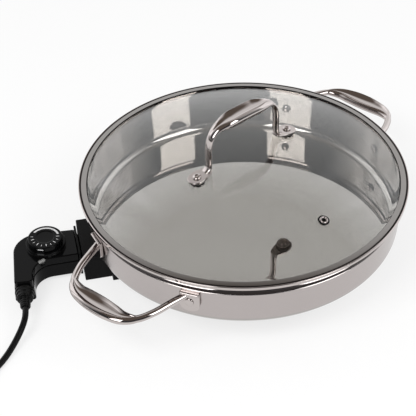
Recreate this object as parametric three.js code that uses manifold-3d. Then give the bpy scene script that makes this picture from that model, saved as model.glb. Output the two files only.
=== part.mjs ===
// Electric skillet: a round steel pan on a heated base, a lift-off glass lid and a plug-in
// temperature control with its cord. Lengths are in millimetres and angles in degrees.
// The table is z = 0, the pan's axis is x = y = 0, and +X runs through one side handle.

import * as THREE from 'three';
import { mergeVertices } from 'three/addons/utils/BufferGeometryUtils.js';
import Module from 'manifold-3d';

const wasm = await Module();
wasm.setup();

// Fits and facets
const clearance = 0.3;
const overrun = 4;
const weld_gap = 1e-4;
const ring_sides = 56;
const base_sides = 40;
const round_sides = 24;
const small_sides = 10;
const tiny_sides = 8;
const arc_steps = 3;

// Pan
const pan_base_height = 31;
const pan_floor = 3.2;
const pan_depth = 59.3;
const pan_sheet = 1.2;
const pan_mouth_radius = 197;
const pan_taper = 3;
const pan_corner = 15;
const pan_inner_corner = 10;
const lip_reach = 3.2;
const lip_height = 3.5;
const lip_thick = 1.6;
const lip_round = 0.8;

// Lid
const rim_overhang = 6;
const rim_edge = 2.4;
const rim_cover = 10.5;
const rim_sheet = 0.8;
const rim_round = 1.2;
const skirt_drop = 5.8;
const skirt_gap = 0.9;
const glass_thick = 4;
const dome_rise = 35;
const dome_steps = 7;
const dome_margin = 1.5;
const vent_inset = 50;
const vent_turn = 260.9;
const vent_flange_radius = 5.2;
const vent_flange = 1.1;
const vent_shank_radius = 2.9;
const vent_hole_radius = 1.8;

// Lid handle
const lid_handle_turn = -9;
const lid_handle_half_span = 72;
const lid_leg_inset = 18;
const lid_handle_rise = 58;
const lid_leg_width = 11.5;
const lid_leg_thick = 4.6;
const lid_grip_width = 25;
const lid_grip_thick = 14;
const lid_grip_dish = 2.6;
const lid_foot_width = 21;
const lid_foot_thick = 3;
const lid_foot_reach = 12;
const lid_washer_thick = 1.2;
const lid_screw_radius = 2.2;
const lid_screw_head_radius = 5.2;
const lid_screw_head = 2.6;
const screw_edge_share = 0.4;
const screw_crown_share = 0.85;
const screw_crown_radius_share = 0.7;
const lid_nut_radius = 6.5;
const lid_nut_height = 5.5;
const lid_nut_flange_radius = 9;
const lid_nut_flange = 1.2;
const nut_tip_share = 0.15;
const nut_side_share = 0.45;
const nut_tip_radius_share = 0.7;
const lid_foot_taper_share = 0.6;
const arch_flare_share = 0.98;
const arch_full_share = 0.3;
const arch_steps = 28;
const arch_sides = 10;

// Side handles and their rivets. A dish in a bar's top takes this share of its width.
const dish_width_share = 0.845;
const handle_out = 73;
const handle_half_turn = 21.8;
const handle_rivet_z = 66;
const handle_top_z = 74;
const grip_z = 69;
const grip_width = 26;
const grip_thick = 14;
const grip_dish = 3.5;
const leg_width = 9;
const leg_thick = 8;
const foot_plate_width = 24;
const foot_plate_height = 27;
const foot_plate_thick = 3.5;
const foot_plate_round_share = 0.9;
const rivet_radius = 2.5;
const rivet_head_radius = 5;
const rivet_head = 2.6;
const rivet_crown_share = 0.6;
const rivet_tip_share = 0.2;
const flare_start_share = 0.7;
const flare_full_share = 0.3;
const handle_steps = 26;
const handle_sides = 10;

// Heated base under the pan
const heat_plate_inset = 44;
const heat_plate_thick = 6;
const element_radius = 4;
const element_inset = 45;
const element_bend = 16;
const element_sides = 8;
const terminal_half_pitch = 12;
const well_wall = 0.9;
const well_inset = 72;
const cover_sheet = 0.8;
const cover_overhang = 10;
const cover_slope = 10;
const boss_inset = 38;
const boss_radius = 6;
const base_foot_radius = 13;
const base_foot_taper = 3;
const base_foot_edge = 1;
const screw_recess_radius = 5;
const screw_recess = 5;
const base_foot_turns = [95, 180, 265];
const base_screw_radius = 2;
const base_screw_head_radius = 4;
const base_screw_head = 2.4;

// Socket guard on the pan's side
const control_turn = 143;
const guard_out = 12;
const guard_depth = 49;
const guard_half_width = 37;
const guard_height = 37.5;
const guard_tail = 22;
const guard_tail_lap = 16;
const guard_tail_half_width = 45;
const socket_depth = 26;
const socket_half_width = 20;
const socket_half_height = 9.5;
const socket_wall = 13;
const channel_floor = 8;
const pin_radius = 2.5;
const pin_length = 20;
const guard_screw_half_pitch = 26;
const guard_screw_inset = 5;
const guard_pan_gap = 0.5;

// Temperature control
const control_near_half = 24.8;
const control_far_half = 22.8;
const control_bottom = 5;
const control_top = 35;
const control_parting = 24;
const control_flare = 1.6;
const control_gap = 1.5;
const nose_flange_thick = 3;
const nose_flange_half_width = 29;
const nose_flange_rim = 2;
const nose_flange_corner = 4;
const nose_corner = 2;
const leg_end_out = 71;
const leg_end_t = 60;
const leg_corner = 4;
const leg_half_width = 11;
const leg_yaw = 4;
const elbow_radius = 32;
const elbow_fillet = 26;
const shell_wall = 2.2;
const shell_bevel = 1.6;
const outline_steps = 6;
const dial_out = 37;
const dial_t = -1;
const turret_radius = 24.5;
const turret_height = 5.6;
const dial_radius = 21.3;
const dial_height = 7.4;
const dial_bevel = 1.4;
const dial_recess = 0.6;
const dial_recess_radius = 11;
const dial_socket_depth = 4;
const index_turn = 63;
const index_width = 9;
const dial_shaft_radius = 3;
const cam_radius = 7;
const cam_thick = 3;
const cam_offset = 1.5;
const probe_radius = 2.8;
const probe_tip_share = 0.6;
const sleeve_wall = 1.2;
const sleeve_length = 32;
const bracket_length = 60;
const bracket_width = 26;
const bracket_thick = 1.2;
const bracket_lug = 6;
const bracket_lug_rise = 2;
const insulator_gap = 8;
const leaf_length = 38;
const leaf_width = 7;
const leaf_thick = 0.6;
const insulator_length = 12;
const insulator_width = 14;
const insulator_height = 6;
const lens_length = 10;
const lens_height = 4.6;
const lens_depth = 3.4;
const lens_proud = 0.7;
const lens_offset = 8;
const lamp_radius = 2.4;
const lamp_length = 9;
const lamp_tip_share = 0.6;
const shell_screw_radius = 1.5;
const shell_screw_head_radius = 3;
const shell_screw_head = 1.8;
const shell_post_radius = 3.4;
const shell_post_clear_share = 0.8;
const shell_screw_slack = 4;
const wire_radius = 1.1;
const wire_sides = 6;
const wire_steps = 10;
const wire_lead = 5;
const wire_side_share = 0.7;
const wire_detour_share = 0.9;
const wire_turn_shares = [{ out: 0.7, along: 1.05 }, { out: 1.2, along: 0.5 }];

// Cord, strain relief, coil, tie and plug
const cord_radius = 3.8;
const cord_length = 900;
const cord_sides = 10;
const cord_steps = 16;
const relief_root_radius = 12.4;
const relief_tip_radius = 5.6;
const relief_length = 29;
const relief_step = 15;
const relief_step_radius = 9.6;
const relief_sleeve_radius = 6.8;
const relief_neck_radius = 6;
const relief_neck = 5;
const relief_ribs = 3;
const relief_sleeve_ribs = 2;
const relief_rib_depth = 1.1;
const rib_start_share = 0.1;
const rib_end_share = 0.6;
const groove_start_share = 0.7;
const coil_gap = 0.6;
const coil_tail = 64;
const coil_mean_radius = 44;
const coil_layers = 2;
const coil_steps = 24;
const coil_sides = 6;
const tie_thick = 1;
const tie_width = 6;
const plug_length = 30;
const plug_neck = 9;
const plug_width = 25;
const plug_thick = 15;
const plug_round = 4;
const blade_length = 17;
const blade_width = 6.4;
const blade_thick = 1.5;
const blade_half_pitch = 6.35;
const blade_root = 4;

// Radii, reaches and levels that follow from the sizes above
const pan_base_radius = pan_mouth_radius - pan_taper;
const rim_radius = pan_mouth_radius + rim_overhang;
const handle_reach = pan_mouth_radius + handle_out;
const heat_plate_radius = pan_base_radius - heat_plate_inset;
const element_ring_radius = heat_plate_radius - element_inset;
const well_start = heat_plate_radius - well_inset;
const cover_radius = heat_plate_radius + cover_overhang;
const boss_ring_radius = cover_radius - boss_inset;
const lid_leg_half_span = lid_handle_half_span - lid_leg_inset;
const guard_face = pan_mouth_radius + guard_out;
const floor_z = pan_base_height + pan_floor;
const lip_top_z = floor_z + pan_depth;
const lip_root_z = lip_top_z - lip_height;
const lip_radius = pan_mouth_radius + lip_reach;
const rim_bottom_z = lip_top_z + clearance;
const glass_bottom_z = rim_bottom_z + rim_sheet + clearance;
const glass_edge_z = glass_bottom_z + glass_thick;
const rim_top_z = glass_edge_z + clearance + rim_sheet;
const rim_inner_radius = rim_radius - rim_cover;
const dome_radius = rim_inner_radius - dome_margin;
const vent_radius = dome_radius - vent_inset;
const glass_radius = rim_radius - rim_edge - clearance;
const heat_plate_top = pan_base_height - clearance;
const heat_plate_bottom = heat_plate_top - heat_plate_thick;
const socket_z = heat_plate_bottom - clearance - element_radius;
const cover_floor_z = socket_z - element_radius - clearance - cover_sheet;
const guard_back = guard_face - guard_depth;
const guard_tail_back = guard_back - guard_tail;
const socket_back = guard_face - socket_depth;
const channel_end = socket_back - socket_wall;
const control_start = guard_face + control_gap + nose_flange_thick;
const dial_n = control_start + dial_out;
const lens_n = dial_n + lens_offset;
const leg_end_n = control_start + leg_end_out;
const parting_z = control_parting;
const leg_axis_z = (control_bottom + control_top) / 2;
const turret_top = control_top + turret_height;
const dial_bottom = turret_top + clearance;
const dial_top = dial_bottom + dial_height;

const radians = THREE.MathUtils.degToRad;
const vec = (x, y, z) => new THREE.Vector3(x, y, z);

// Geometry helpers. Each returns a closed mesh that holds positions only.
function cleaned(geometry) {
  const plain = new THREE.BufferGeometry();
  plain.setAttribute('position', geometry.getAttribute('position').clone());
  if (geometry.index) {
    plain.setIndex(geometry.index.clone());
  }
  const merged = mergeVertices(plain, weld_gap);
  const position = merged.getAttribute('position');
  const kept = [];
  const corner = [vec(0, 0, 0), vec(0, 0, 0), vec(0, 0, 0)];
  let volume = 0;
  for (let i = 0; i < merged.index.count; i += 3) {
    const ids = [0, 1, 2].map((k) => merged.index.getX(i + k));
    if (new Set(ids).size === 3) {
      ids.forEach((id, k) => corner[k].fromBufferAttribute(position, id));
      volume += corner[0].dot(corner[1].clone().cross(corner[2]));
      kept.push(ids);
    }
  }
  merged.setIndex(kept.flatMap((ids) => (volume < 0 ? [ids[0], ids[2], ids[1]] : ids)));
  return merged;
}

function toSolid(geometry) {
  const mesh = cleaned(geometry);
  return new wasm.Manifold(new wasm.Mesh({
    numProp: 3,
    vertProperties: new Float32Array(mesh.getAttribute('position').array),
    triVerts: new Uint32Array(mesh.index.array),
  }));
}

function fromSolid(solid) {
  const mesh = solid.getMesh();
  const geometry = new THREE.BufferGeometry();
  geometry.setAttribute('position', new THREE.BufferAttribute(mesh.vertProperties.slice(), 3));
  geometry.setIndex(Array.from(mesh.triVerts));
  return geometry;
}

function joined(first, ...others) {
  return fromSolid(others.reduce((solid, other) => solid.add(toSolid(other)), toSolid(first)));
}

function without(first, ...others) {
  return fromSolid(others.reduce((solid, other) => solid.subtract(toSolid(other)), toSolid(first)));
}

function common(first, second) {
  return fromSolid(toSolid(first).intersect(toSolid(second)));
}

// A profile of [radius, height] pairs turned about Z.
function turned(profile, sides = round_sides) {
  const points = profile.map(([r, z]) => new THREE.Vector2(r, z));
  return cleaned(new THREE.LatheGeometry(points, sides).rotateX(Math.PI / 2));
}

function ring(profile, sides = round_sides) {
  return turned([...profile, profile[0]], sides);
}

function post(radius, low, high, sides = small_sides) {
  return turned([[0, low], [radius, low], [radius, high], [0, high]], sides);
}

function tubePost(outer, inner, low, high, sides = small_sides) {
  return ring([[inner, low], [outer, low], [outer, high], [inner, high]], sides);
}

function alongX(geometry) {
  return geometry.rotateY(Math.PI / 2);
}

function alongY(geometry) {
  return geometry.rotateX(-Math.PI / 2);
}

function block(low, high) {
  const size = high.map((value, k) => value - low[k]);
  const middle = high.map((value, k) => (value + low[k]) / 2);
  return cleaned(new THREE.BoxGeometry(...size).translate(...middle));
}

function prism(shape, low, high, curve_steps = arc_steps) {
  const options = { depth: high - low, bevelEnabled: false, curveSegments: curve_steps };
  return cleaned(new THREE.ExtrudeGeometry(shape, options).translate(0, 0, low));
}

function roundedRect(half_x, half_y, corner) {
  const shape = new THREE.Shape();
  const quarter = Math.PI / 2;
  shape.absarc(half_x - corner, half_y - corner, corner, 0, quarter, false);
  shape.absarc(corner - half_x, half_y - corner, corner, quarter, 2 * quarter, false);
  shape.absarc(corner - half_x, corner - half_y, corner, 2 * quarter, 3 * quarter, false);
  shape.absarc(half_x - corner, corner - half_y, corner, 3 * quarter, 4 * quarter, false);
  return shape;
}

function arcPoints(center_r, center_z, radius, from_deg, to_deg, steps = arc_steps) {
  return Array.from({ length: steps + 1 }, (_, k) => {
    const angle = radians(from_deg + ((to_deg - from_deg) * k) / steps);
    return [center_r + radius * Math.cos(angle), center_z + radius * Math.sin(angle)];
  });
}

// Rings of points joined into one closed skin, with a flat cap at each end.
function skinned(rings) {
  const count = rings[0].length;
  const positions = rings.flat().flatMap((p) => [p.x, p.y, p.z]);
  const index = [];
  for (let i = 0; i + 1 < rings.length; i += 1) {
    for (let k = 0; k < count; k += 1) {
      const a = i * count + k;
      const b = i * count + ((k + 1) % count);
      index.push(a, b, b + count, a, b + count, a + count);
    }
  }
  const last = (rings.length - 1) * count;
  for (let k = 1; k + 1 < count; k += 1) {
    index.push(0, k + 1, k, last, last + k, last + k + 1);
  }
  const geometry = new THREE.BufferGeometry();
  geometry.setAttribute('position', new THREE.Float32BufferAttribute(positions, 3));
  geometry.setIndex(index);
  return cleaned(geometry);
}

// A bar of changing oval section along a curve. across(tangent) gives its width direction.
function sweptBar(curve, steps, sides, section, across) {
  const rings = [];
  for (let i = 0; i <= steps; i += 1) {
    const center = curve.getPointAt(i / steps);
    const tangent = curve.getTangentAt(i / steps);
    const side = across(tangent).normalize();
    const up = new THREE.Vector3().crossVectors(side, tangent).normalize();
    const { half_width, half_thick, dish } = section(center);
    rings.push(Array.from({ length: sides }, (_, k) => {
      const angle = (2 * Math.PI * (k + 0.5)) / sides;
      const wide = Math.cos(angle);
      const tall = Math.sin(angle);
      const sunk = tall > 0 ? dish * Math.max(0, 1 - (wide / dish_width_share) ** 2) : 0;
      return center.clone()
        .addScaledVector(side, half_width * wide)
        .addScaledVector(up, half_thick * tall - sunk);
    }));
  }
  return skinned(rings);
}

function smooth(share) {
  const t = Math.min(1, Math.max(0, share));
  return t * t * (3 - 2 * t);
}

function tube(curve, radius, sides, steps) {
  const section = new THREE.Shape(Array.from({ length: sides }, (_, k) => {
    const angle = (2 * Math.PI * k) / sides;
    return new THREE.Vector2(radius * Math.cos(angle), radius * Math.sin(angle));
  }));
  return cleaned(new THREE.ExtrudeGeometry(section, { steps, bevelEnabled: false, extrudePath: curve }));
}

// Materials
function material(color, roughness, metalness) {
  return new THREE.MeshStandardMaterial({ color, roughness, metalness });
}

const steel = material(0xb9b4b0, 0.2, 1);
const satin_steel = material(0xaaa4a1, 0.35, 1);
const aluminium = material(0xa8a8a6, 0.5, 1);
const brass = material(0xb08d4a, 0.35, 1);
const matte_black = material(0x161615, 0.65, 0);
const gloss_black = material(0x0d0d0e, 0.25, 0);
const cord_black = material(0x101010, 0.5, 0);
const ceramic = material(0xd8d2c4, 0.7, 0);
const silicone = material(0x3a3a3a, 0.8, 0);
const white_lens = material(0xf2efe9, 0.2, 0);
const glass = new THREE.MeshStandardMaterial({
  color: 0xdfe8e4, roughness: 0.05, metalness: 0, transparent: true, opacity: 0.35,
});

const object = new THREE.Group();
const lid = new THREE.Group();
const lid_handle_group = new THREE.Group();
const base = new THREE.Group();
const control = new THREE.Group();
lid_handle_group.rotation.z = radians(lid_handle_turn);
base.rotation.z = radians(control_turn);
control.rotation.z = radians(control_turn);
lid.add(lid_handle_group);
object.add(lid, base, control);

function add(group, name, geometry, finish) {
  const mesh = new THREE.Mesh(geometry, finish);
  mesh.name = name;
  group.add(mesh);
  return mesh;
}

// Pan
function panWallRadius(z) {
  const foot_z = pan_base_height + pan_corner;
  const share = (z - foot_z) / (lip_root_z - foot_z);
  return pan_base_radius + (pan_mouth_radius - pan_base_radius) * share;
}

function panOutside(offset) {
  return [
    [0, pan_base_height - offset],
    ...arcPoints(pan_base_radius - pan_corner, pan_base_height + pan_corner, pan_corner + offset, -90, 0),
    [pan_mouth_radius + offset, lip_root_z],
  ];
}

function panGeometry() {
  const inner_mouth = pan_mouth_radius - pan_sheet;
  const inner_base = pan_base_radius - pan_sheet;
  const body = turned([
    ...panOutside(0),
    [lip_radius - lip_round, lip_top_z - lip_thick],
    [lip_radius, lip_top_z - lip_thick / 2],
    [lip_radius - lip_round, lip_top_z],
    [inner_mouth + lip_round, lip_top_z],
    [inner_mouth, lip_root_z],
    ...arcPoints(inner_base - pan_inner_corner, floor_z + pan_inner_corner, pan_inner_corner, 0, -90),
    [0, floor_z],
  ], ring_sides);
  const holes = rivetPlaces().map(({ turn }) => radialPost(rivet_radius + clearance, turn));
  return without(body, ...holes);
}

function rivetPlaces() {
  return [0, 180].flatMap((side) => [-1, 1].map((sign) => ({
    side, sign, turn: side + sign * handle_half_turn,
  })));
}

function radialPost(radius, turn) {
  const reach = pan_mouth_radius + foot_plate_thick + overrun;
  const start = pan_base_radius - pan_sheet - overrun;
  return alongX(post(radius, start, reach)).translate(0, 0, handle_rivet_z).rotateZ(radians(turn));
}

add(object, 'pan_body', panGeometry(), steel);

// Side handles
const plate_inside = panWallRadius(handle_rivet_z + foot_plate_height / 2) + clearance;
const plate_outside = plate_inside + foot_plate_thick;
const plate_low_z = handle_rivet_z - foot_plate_height / 2;
const plate_high_z = handle_rivet_z + foot_plate_height / 2;

// Points of half of a side handle, from its foot plate to the middle of the grip:
// shares of the way out to the grip, of the half chord, and of the drop to the grip.
const half_handle_shares = [
  [0.02, 0.93, 0], [0.28, 0.87, 0.15], [0.6, 0.79, 0.5], [0.85, 0.66, 0.85],
  [0.965, 0.47, 1], [0.995, 0.24, 1], [1, 0, 1],
];

function sideHandleGeometry() {
  const half_chord = plate_outside * Math.sin(radians(handle_half_turn));
  const start_u = plate_outside * Math.cos(radians(handle_half_turn)) - foot_plate_thick / 2;
  const grip_u = handle_reach - grip_width / 2;
  const half = half_handle_shares.map(([out, wide, drop]) => vec(
    start_u + (grip_u - start_u) * out,
    half_chord * wide,
    handle_top_z + (grip_z - handle_top_z) * drop,
  ));
  const mirrored = half.slice(0, -1).reverse().map((p) => vec(p.x, -p.y, p.z));
  const curve = new THREE.CatmullRomCurve3([...half, ...mirrored]);
  const flare = half_chord * flare_start_share;
  const full = half_chord * flare_full_share;
  const bar = sweptBar(curve, handle_steps, handle_sides, (p) => {
    const share = smooth((flare - Math.abs(p.y)) / (flare - full));
    return {
      half_width: (leg_width + (grip_width - leg_width) * share) / 2,
      half_thick: (leg_thick + (grip_thick - leg_thick) * share) / 2,
      dish: grip_dish * share,
    };
  }, (tangent) => new THREE.Vector3().crossVectors(tangent, vec(0, 0, 1)));
  const band = ring([
    [plate_inside, plate_low_z], [plate_outside, plate_low_z],
    [plate_outside, plate_high_z], [plate_inside, plate_high_z],
  ], ring_sides * 2);
  const feet = [-1, 1].map((sign) => footPlate(band, sign * handle_half_turn));
  const outside_pan = ring([
    [plate_inside, plate_low_z - overrun], [handle_reach + overrun, plate_low_z - overrun],
    [handle_reach + overrun, plate_high_z + overrun], [plate_inside, plate_high_z + overrun],
  ], ring_sides * 2);
  const whole = joined(common(bar, outside_pan), ...feet);
  const holes = [-1, 1].map((sign) => radialPost(rivet_radius + clearance, sign * handle_half_turn));
  return without(whole, ...holes);
}

// A plate with round lower corners, cut out of a band that lies round the pan.
function footPlate(band, turn) {
  const half_width = foot_plate_width / 2;
  const half_height = foot_plate_height / 2;
  const shape = new THREE.Shape();
  const bulge = half_width * foot_plate_round_share;
  shape.moveTo(half_width, half_height);
  shape.lineTo(-half_width, half_height);
  shape.lineTo(-half_width, bulge - half_height);
  shape.quadraticCurveTo(-half_width, -half_height, 0, -half_height);
  shape.quadraticCurveTo(half_width, -half_height, half_width, bulge - half_height);
  const cutter = prism(shape, plate_inside - overrun, plate_outside + overrun)
    .rotateX(Math.PI / 2).rotateZ(Math.PI / 2).translate(0, 0, handle_rivet_z).rotateZ(radians(turn));
  return common(band, cutter);
}

[['side_handle_far', 0], ['side_handle_near', 180]].forEach(([name, turn]) => {
  add(object, name, sideHandleGeometry(), steel).rotation.z = radians(turn);
});

// A rivet: a domed head inside the pan, a shank, and a low head on the handle's foot.
function rivetGeometry() {
  const wall_low = panWallRadius(handle_rivet_z - rivet_head_radius) - pan_sheet;
  const wall_inside = wall_low * Math.cos(Math.PI / ring_sides) - clearance;
  const head_rise = rivet_head * rivet_crown_share;
  const tip_rise = head_rise * (1 + rivet_tip_share);
  const crown_radius = rivet_head_radius * rivet_crown_share;
  return alongX(turned([
    [0, wall_inside - rivet_head],
    [crown_radius, wall_inside - rivet_head * (1 - rivet_tip_share)],
    [rivet_head_radius, wall_inside - clearance],
    [rivet_head_radius, wall_inside],
    [rivet_radius, wall_inside],
    [rivet_radius, plate_outside + clearance],
    [rivet_head_radius, plate_outside + clearance],
    [rivet_head_radius, plate_outside + 2 * clearance],
    [crown_radius, plate_outside + clearance + head_rise],
    [0, plate_outside + clearance + tip_rise],
  ], small_sides)).translate(0, 0, handle_rivet_z);
}

rivetPlaces().forEach(({ turn }, k) => {
  add(object, `handle_rivet_${k + 1}`, rivetGeometry(), steel).rotation.z = radians(turn);
});

// Heated base: plate, tubular element, probe well, cover, feet and screws
function basePlaces() {
  return base_foot_turns.map((turn) => ({
    turn, x: boss_ring_radius * Math.cos(radians(turn)), y: boss_ring_radius * Math.sin(radians(turn)),
  }));
}

function guardScrewPlaces() {
  return [-1, 1].map((sign) => ({
    x: guard_tail_back + guard_screw_inset, y: sign * guard_screw_half_pitch,
  }));
}

const screw_top = heat_plate_bottom + heat_plate_thick / 2;
const boss_bottom = cover_floor_z + cover_sheet + clearance;

function heatPlateGeometry() {
  const disc = post(heat_plate_radius, heat_plate_bottom, heat_plate_top, base_sides);
  const bosses = basePlaces().map(({ x, y }) => (
    post(boss_radius, boss_bottom, heat_plate_top - heat_plate_thick / 2).translate(x, y, 0)));
  const bore_top = screw_top + clearance;
  const bores = [...basePlaces(), ...guardScrewPlaces()].map(({ x, y }) => (
    post(base_screw_radius + clearance, boss_bottom - overrun, bore_top).translate(x, y, 0)));
  return without(joined(disc, ...bosses), ...bores);
}

function elementPath() {
  const lead = terminal_half_pitch;
  const bend = element_bend;
  const big = element_ring_radius;
  const center_y = lead + bend;
  const center_x = Math.sqrt((big - bend) ** 2 - center_y ** 2);
  const meet = Math.atan2(center_y, center_x);
  const start_x = channel_end - 2 * clearance;
  const points = [];
  const line_steps = 4;
  for (let k = 0; k < line_steps; k += 1) {
    points.push(vec(start_x + ((center_x - start_x) * k) / line_steps, lead, 0));
  }
  const turn_steps = 6;
  for (let k = 0; k <= turn_steps; k += 1) {
    const angle = -Math.PI / 2 + ((meet - (-Math.PI / 2)) * k) / turn_steps;
    points.push(vec(center_x + bend * Math.cos(angle), center_y + bend * Math.sin(angle), 0));
  }
  return points;
}

function elementGeometry() {
  const lead_in = elementPath();
  const first = lead_in[lead_in.length - 1];
  const from = Math.atan2(first.y, first.x);
  const ring_steps = 26;
  const around = [];
  for (let k = 1; k < ring_steps; k += 1) {
    const angle = from + ((2 * Math.PI - 2 * from) * k) / ring_steps;
    around.push(vec(element_ring_radius * Math.cos(angle), element_ring_radius * Math.sin(angle), 0));
  }
  const lead_out = lead_in.slice().reverse().map((p) => vec(p.x, -p.y, 0));
  const points = [...lead_in, ...around, ...lead_out];
  const rings = points.map((p, k) => {
    const before = points[Math.max(0, k - 1)];
    const after = points[Math.min(points.length - 1, k + 1)];
    const tangent = after.clone().sub(before);
    if (k === 0 || k === points.length - 1) {
      tangent.y = 0;
    }
    const side = new THREE.Vector3().crossVectors(tangent, vec(0, 0, 1)).normalize();
    return Array.from({ length: element_sides }, (_, s) => {
      const angle = (2 * Math.PI * (s + 0.5)) / element_sides;
      return p.clone().addScaledVector(side, element_radius * Math.cos(angle))
        .add(vec(0, 0, element_radius * Math.sin(angle)));
    });
  });
  return skinned(rings).translate(0, 0, socket_z);
}

function coverGeometry() {
  const rise = cover_slope;
  const outer = cover_radius;
  const inner = outer - cover_sheet;
  const dish = turned([
    [0, cover_floor_z],
    [outer - rise, cover_floor_z],
    [outer, cover_floor_z + rise],
    [outer, heat_plate_top],
    [inner, heat_plate_top],
    [inner, cover_floor_z + cover_sheet + rise],
    [inner - rise, cover_floor_z + cover_sheet],
    [0, cover_floor_z + cover_sheet],
  ], base_sides);
  const notch = block(
    [guard_tail_back - clearance, -guard_tail_half_width - clearance, -overrun],
    [cover_radius + overrun, guard_tail_half_width + clearance, pan_base_height + overrun],
  );
  const holes = basePlaces().map(({ x, y }) => (
    post(base_screw_radius + clearance, cover_floor_z - overrun, boss_bottom).translate(x, y, 0)));
  return without(dish, notch, ...holes);
}

const foot_top = cover_floor_z - clearance;

function baseFootGeometry() {
  const low = base_foot_radius - base_foot_taper;
  return ring([
    [screw_recess_radius, 0],
    [low - base_foot_edge, 0],
    [low, base_foot_edge],
    [base_foot_radius, foot_top],
    [base_screw_radius + clearance, foot_top],
    [base_screw_radius + clearance, screw_recess],
    [screw_recess_radius, screw_recess],
  ], small_sides);
}

function screwGeometry(head_low, top) {
  return turned([
    [0, head_low],
    [base_screw_head_radius, head_low],
    [base_screw_head_radius, head_low + base_screw_head],
    [base_screw_radius, head_low + base_screw_head],
    [base_screw_radius, top],
    [0, top],
  ], small_sides);
}

add(base, 'heat_plate', heatPlateGeometry(), aluminium);
add(base, 'heating_element', elementGeometry(), satin_steel);
add(base, 'base_cover', coverGeometry(), satin_steel);

const well_inner = probe_radius + clearance;
const well_outer = well_inner + well_wall;
add(base, 'probe_well', alongX(turned([
  [0, well_start],
  [well_outer, well_start],
  [well_outer, channel_end - clearance],
  [well_inner, channel_end - clearance],
  [well_inner, well_start + well_wall],
  [0, well_start + well_wall],
], small_sides)).translate(0, 0, socket_z), satin_steel);

basePlaces().forEach(({ x, y }, k) => {
  add(base, `base_foot_${k + 1}`, baseFootGeometry(), matte_black).position.set(x, y, 0);
  const screw = screwGeometry(screw_recess - clearance - base_screw_head, screw_top);
  add(base, `base_screw_${k + 1}`, screw, satin_steel).position.set(x, y, 0);
});

// Socket guard with its two terminal pins
const guard_tail_top = heat_plate_bottom - clearance;

function guardGeometry() {
  const front = block(
    [guard_back, -guard_half_width, 0],
    [guard_face, guard_half_width, guard_height],
  );
  const tail = block(
    [guard_tail_back, -guard_tail_half_width, 0],
    [guard_back + guard_tail_lap, guard_tail_half_width, guard_tail_top],
  );
  const pan_space = turned([...panOutside(guard_pan_gap), [0, lip_root_z]], ring_sides * 2);
  const socket = block(
    [socket_back, -socket_half_width, socket_z - socket_half_height],
    [guard_face + overrun, socket_half_width, socket_z + socket_half_height],
  );
  const channel = block(
    [guard_tail_back - overrun, -socket_half_width, channel_floor],
    [channel_end, socket_half_width, pan_base_height + overrun],
  );
  const pin_holes = [-1, 1].map((sign) => (
    alongX(post(pin_radius + clearance, channel_end - overrun, socket_back + overrun))
      .translate(0, sign * terminal_half_pitch, socket_z)));
  const probe_hole = alongX(post(well_inner, channel_end - overrun, socket_back + overrun))
    .translate(0, 0, socket_z);
  const screw_holes = guardScrewPlaces().flatMap(({ x, y }) => [
    post(base_screw_radius + clearance, -overrun, guard_tail_top + overrun).translate(x, y, 0),
    post(screw_recess_radius, -overrun, screw_recess).translate(x, y, 0),
  ]);
  return without(joined(front, tail), pan_space, socket, channel, ...pin_holes, probe_hole, ...screw_holes);
}

add(base, 'socket_guard', guardGeometry(), matte_black);
guardScrewPlaces().forEach(({ x, y }, k) => {
  const screw = screwGeometry(screw_recess - clearance - base_screw_head, screw_top);
  add(base, `guard_screw_${k + 1}`, screw, satin_steel).position.set(x, y, 0);
});
[-1, 1].forEach((sign, k) => {
  const pin = alongX(turned([
    [0, channel_end - clearance],
    [pin_radius, channel_end - clearance],
    [pin_radius, socket_back + pin_length - pin_radius],
    [pin_radius / 2, socket_back + pin_length],
    [0, socket_back + pin_length],
  ], small_sides)).translate(0, sign * terminal_half_pitch, socket_z);
  add(base, `terminal_pin_${k + 1}`, pin, steel);
});

// Lid: glass, rim, vent, handle and its screws
function domeZ(r) {
  return glass_edge_z + dome_rise * (1 - (r / dome_radius) ** 2);
}

function domeTilt(r) {
  return Math.atan((2 * dome_rise * r) / dome_radius ** 2);
}

// The faceted dome lies up to this much below the true one.
const dome_sag = dome_rise / (2 * dome_steps) ** 2;
const under_glass = -glass_thick - dome_sag - clearance;

// Places on the glass: distance from the axis and turn about it.
const vent_place = { r: vent_radius, turn: vent_turn };
const handle_places = [0, 180].map((side) => ({ r: lid_handle_half_span, turn: lid_handle_turn + side }));

// Puts a geometry made round its own Z axis square onto the glass at a place.
function onDome(geometry, { r, turn }) {
  return geometry.rotateY(domeTilt(r)).translate(r, 0, domeZ(r)).rotateZ(radians(turn));
}

function glassGeometry() {
  const outer = Array.from({ length: dome_steps + 1 }, (_, k) => {
    const r = (dome_radius * k) / dome_steps;
    return [r, domeZ(r)];
  });
  const inner = outer.map(([r, z]) => [r, z - glass_thick]).reverse();
  const disc = turned([
    ...outer, [glass_radius, glass_edge_z], [glass_radius, glass_bottom_z], ...inner,
  ], ring_sides);
  const vent_hole = onDome(post(vent_shank_radius + clearance, -3 * glass_thick, glass_thick), vent_place);
  const screw_holes = handle_places.map((place) => (
    onDome(post(lid_screw_radius + clearance, -3 * glass_thick, glass_thick), place)));
  return without(disc, vent_hole, ...screw_holes);
}

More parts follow.
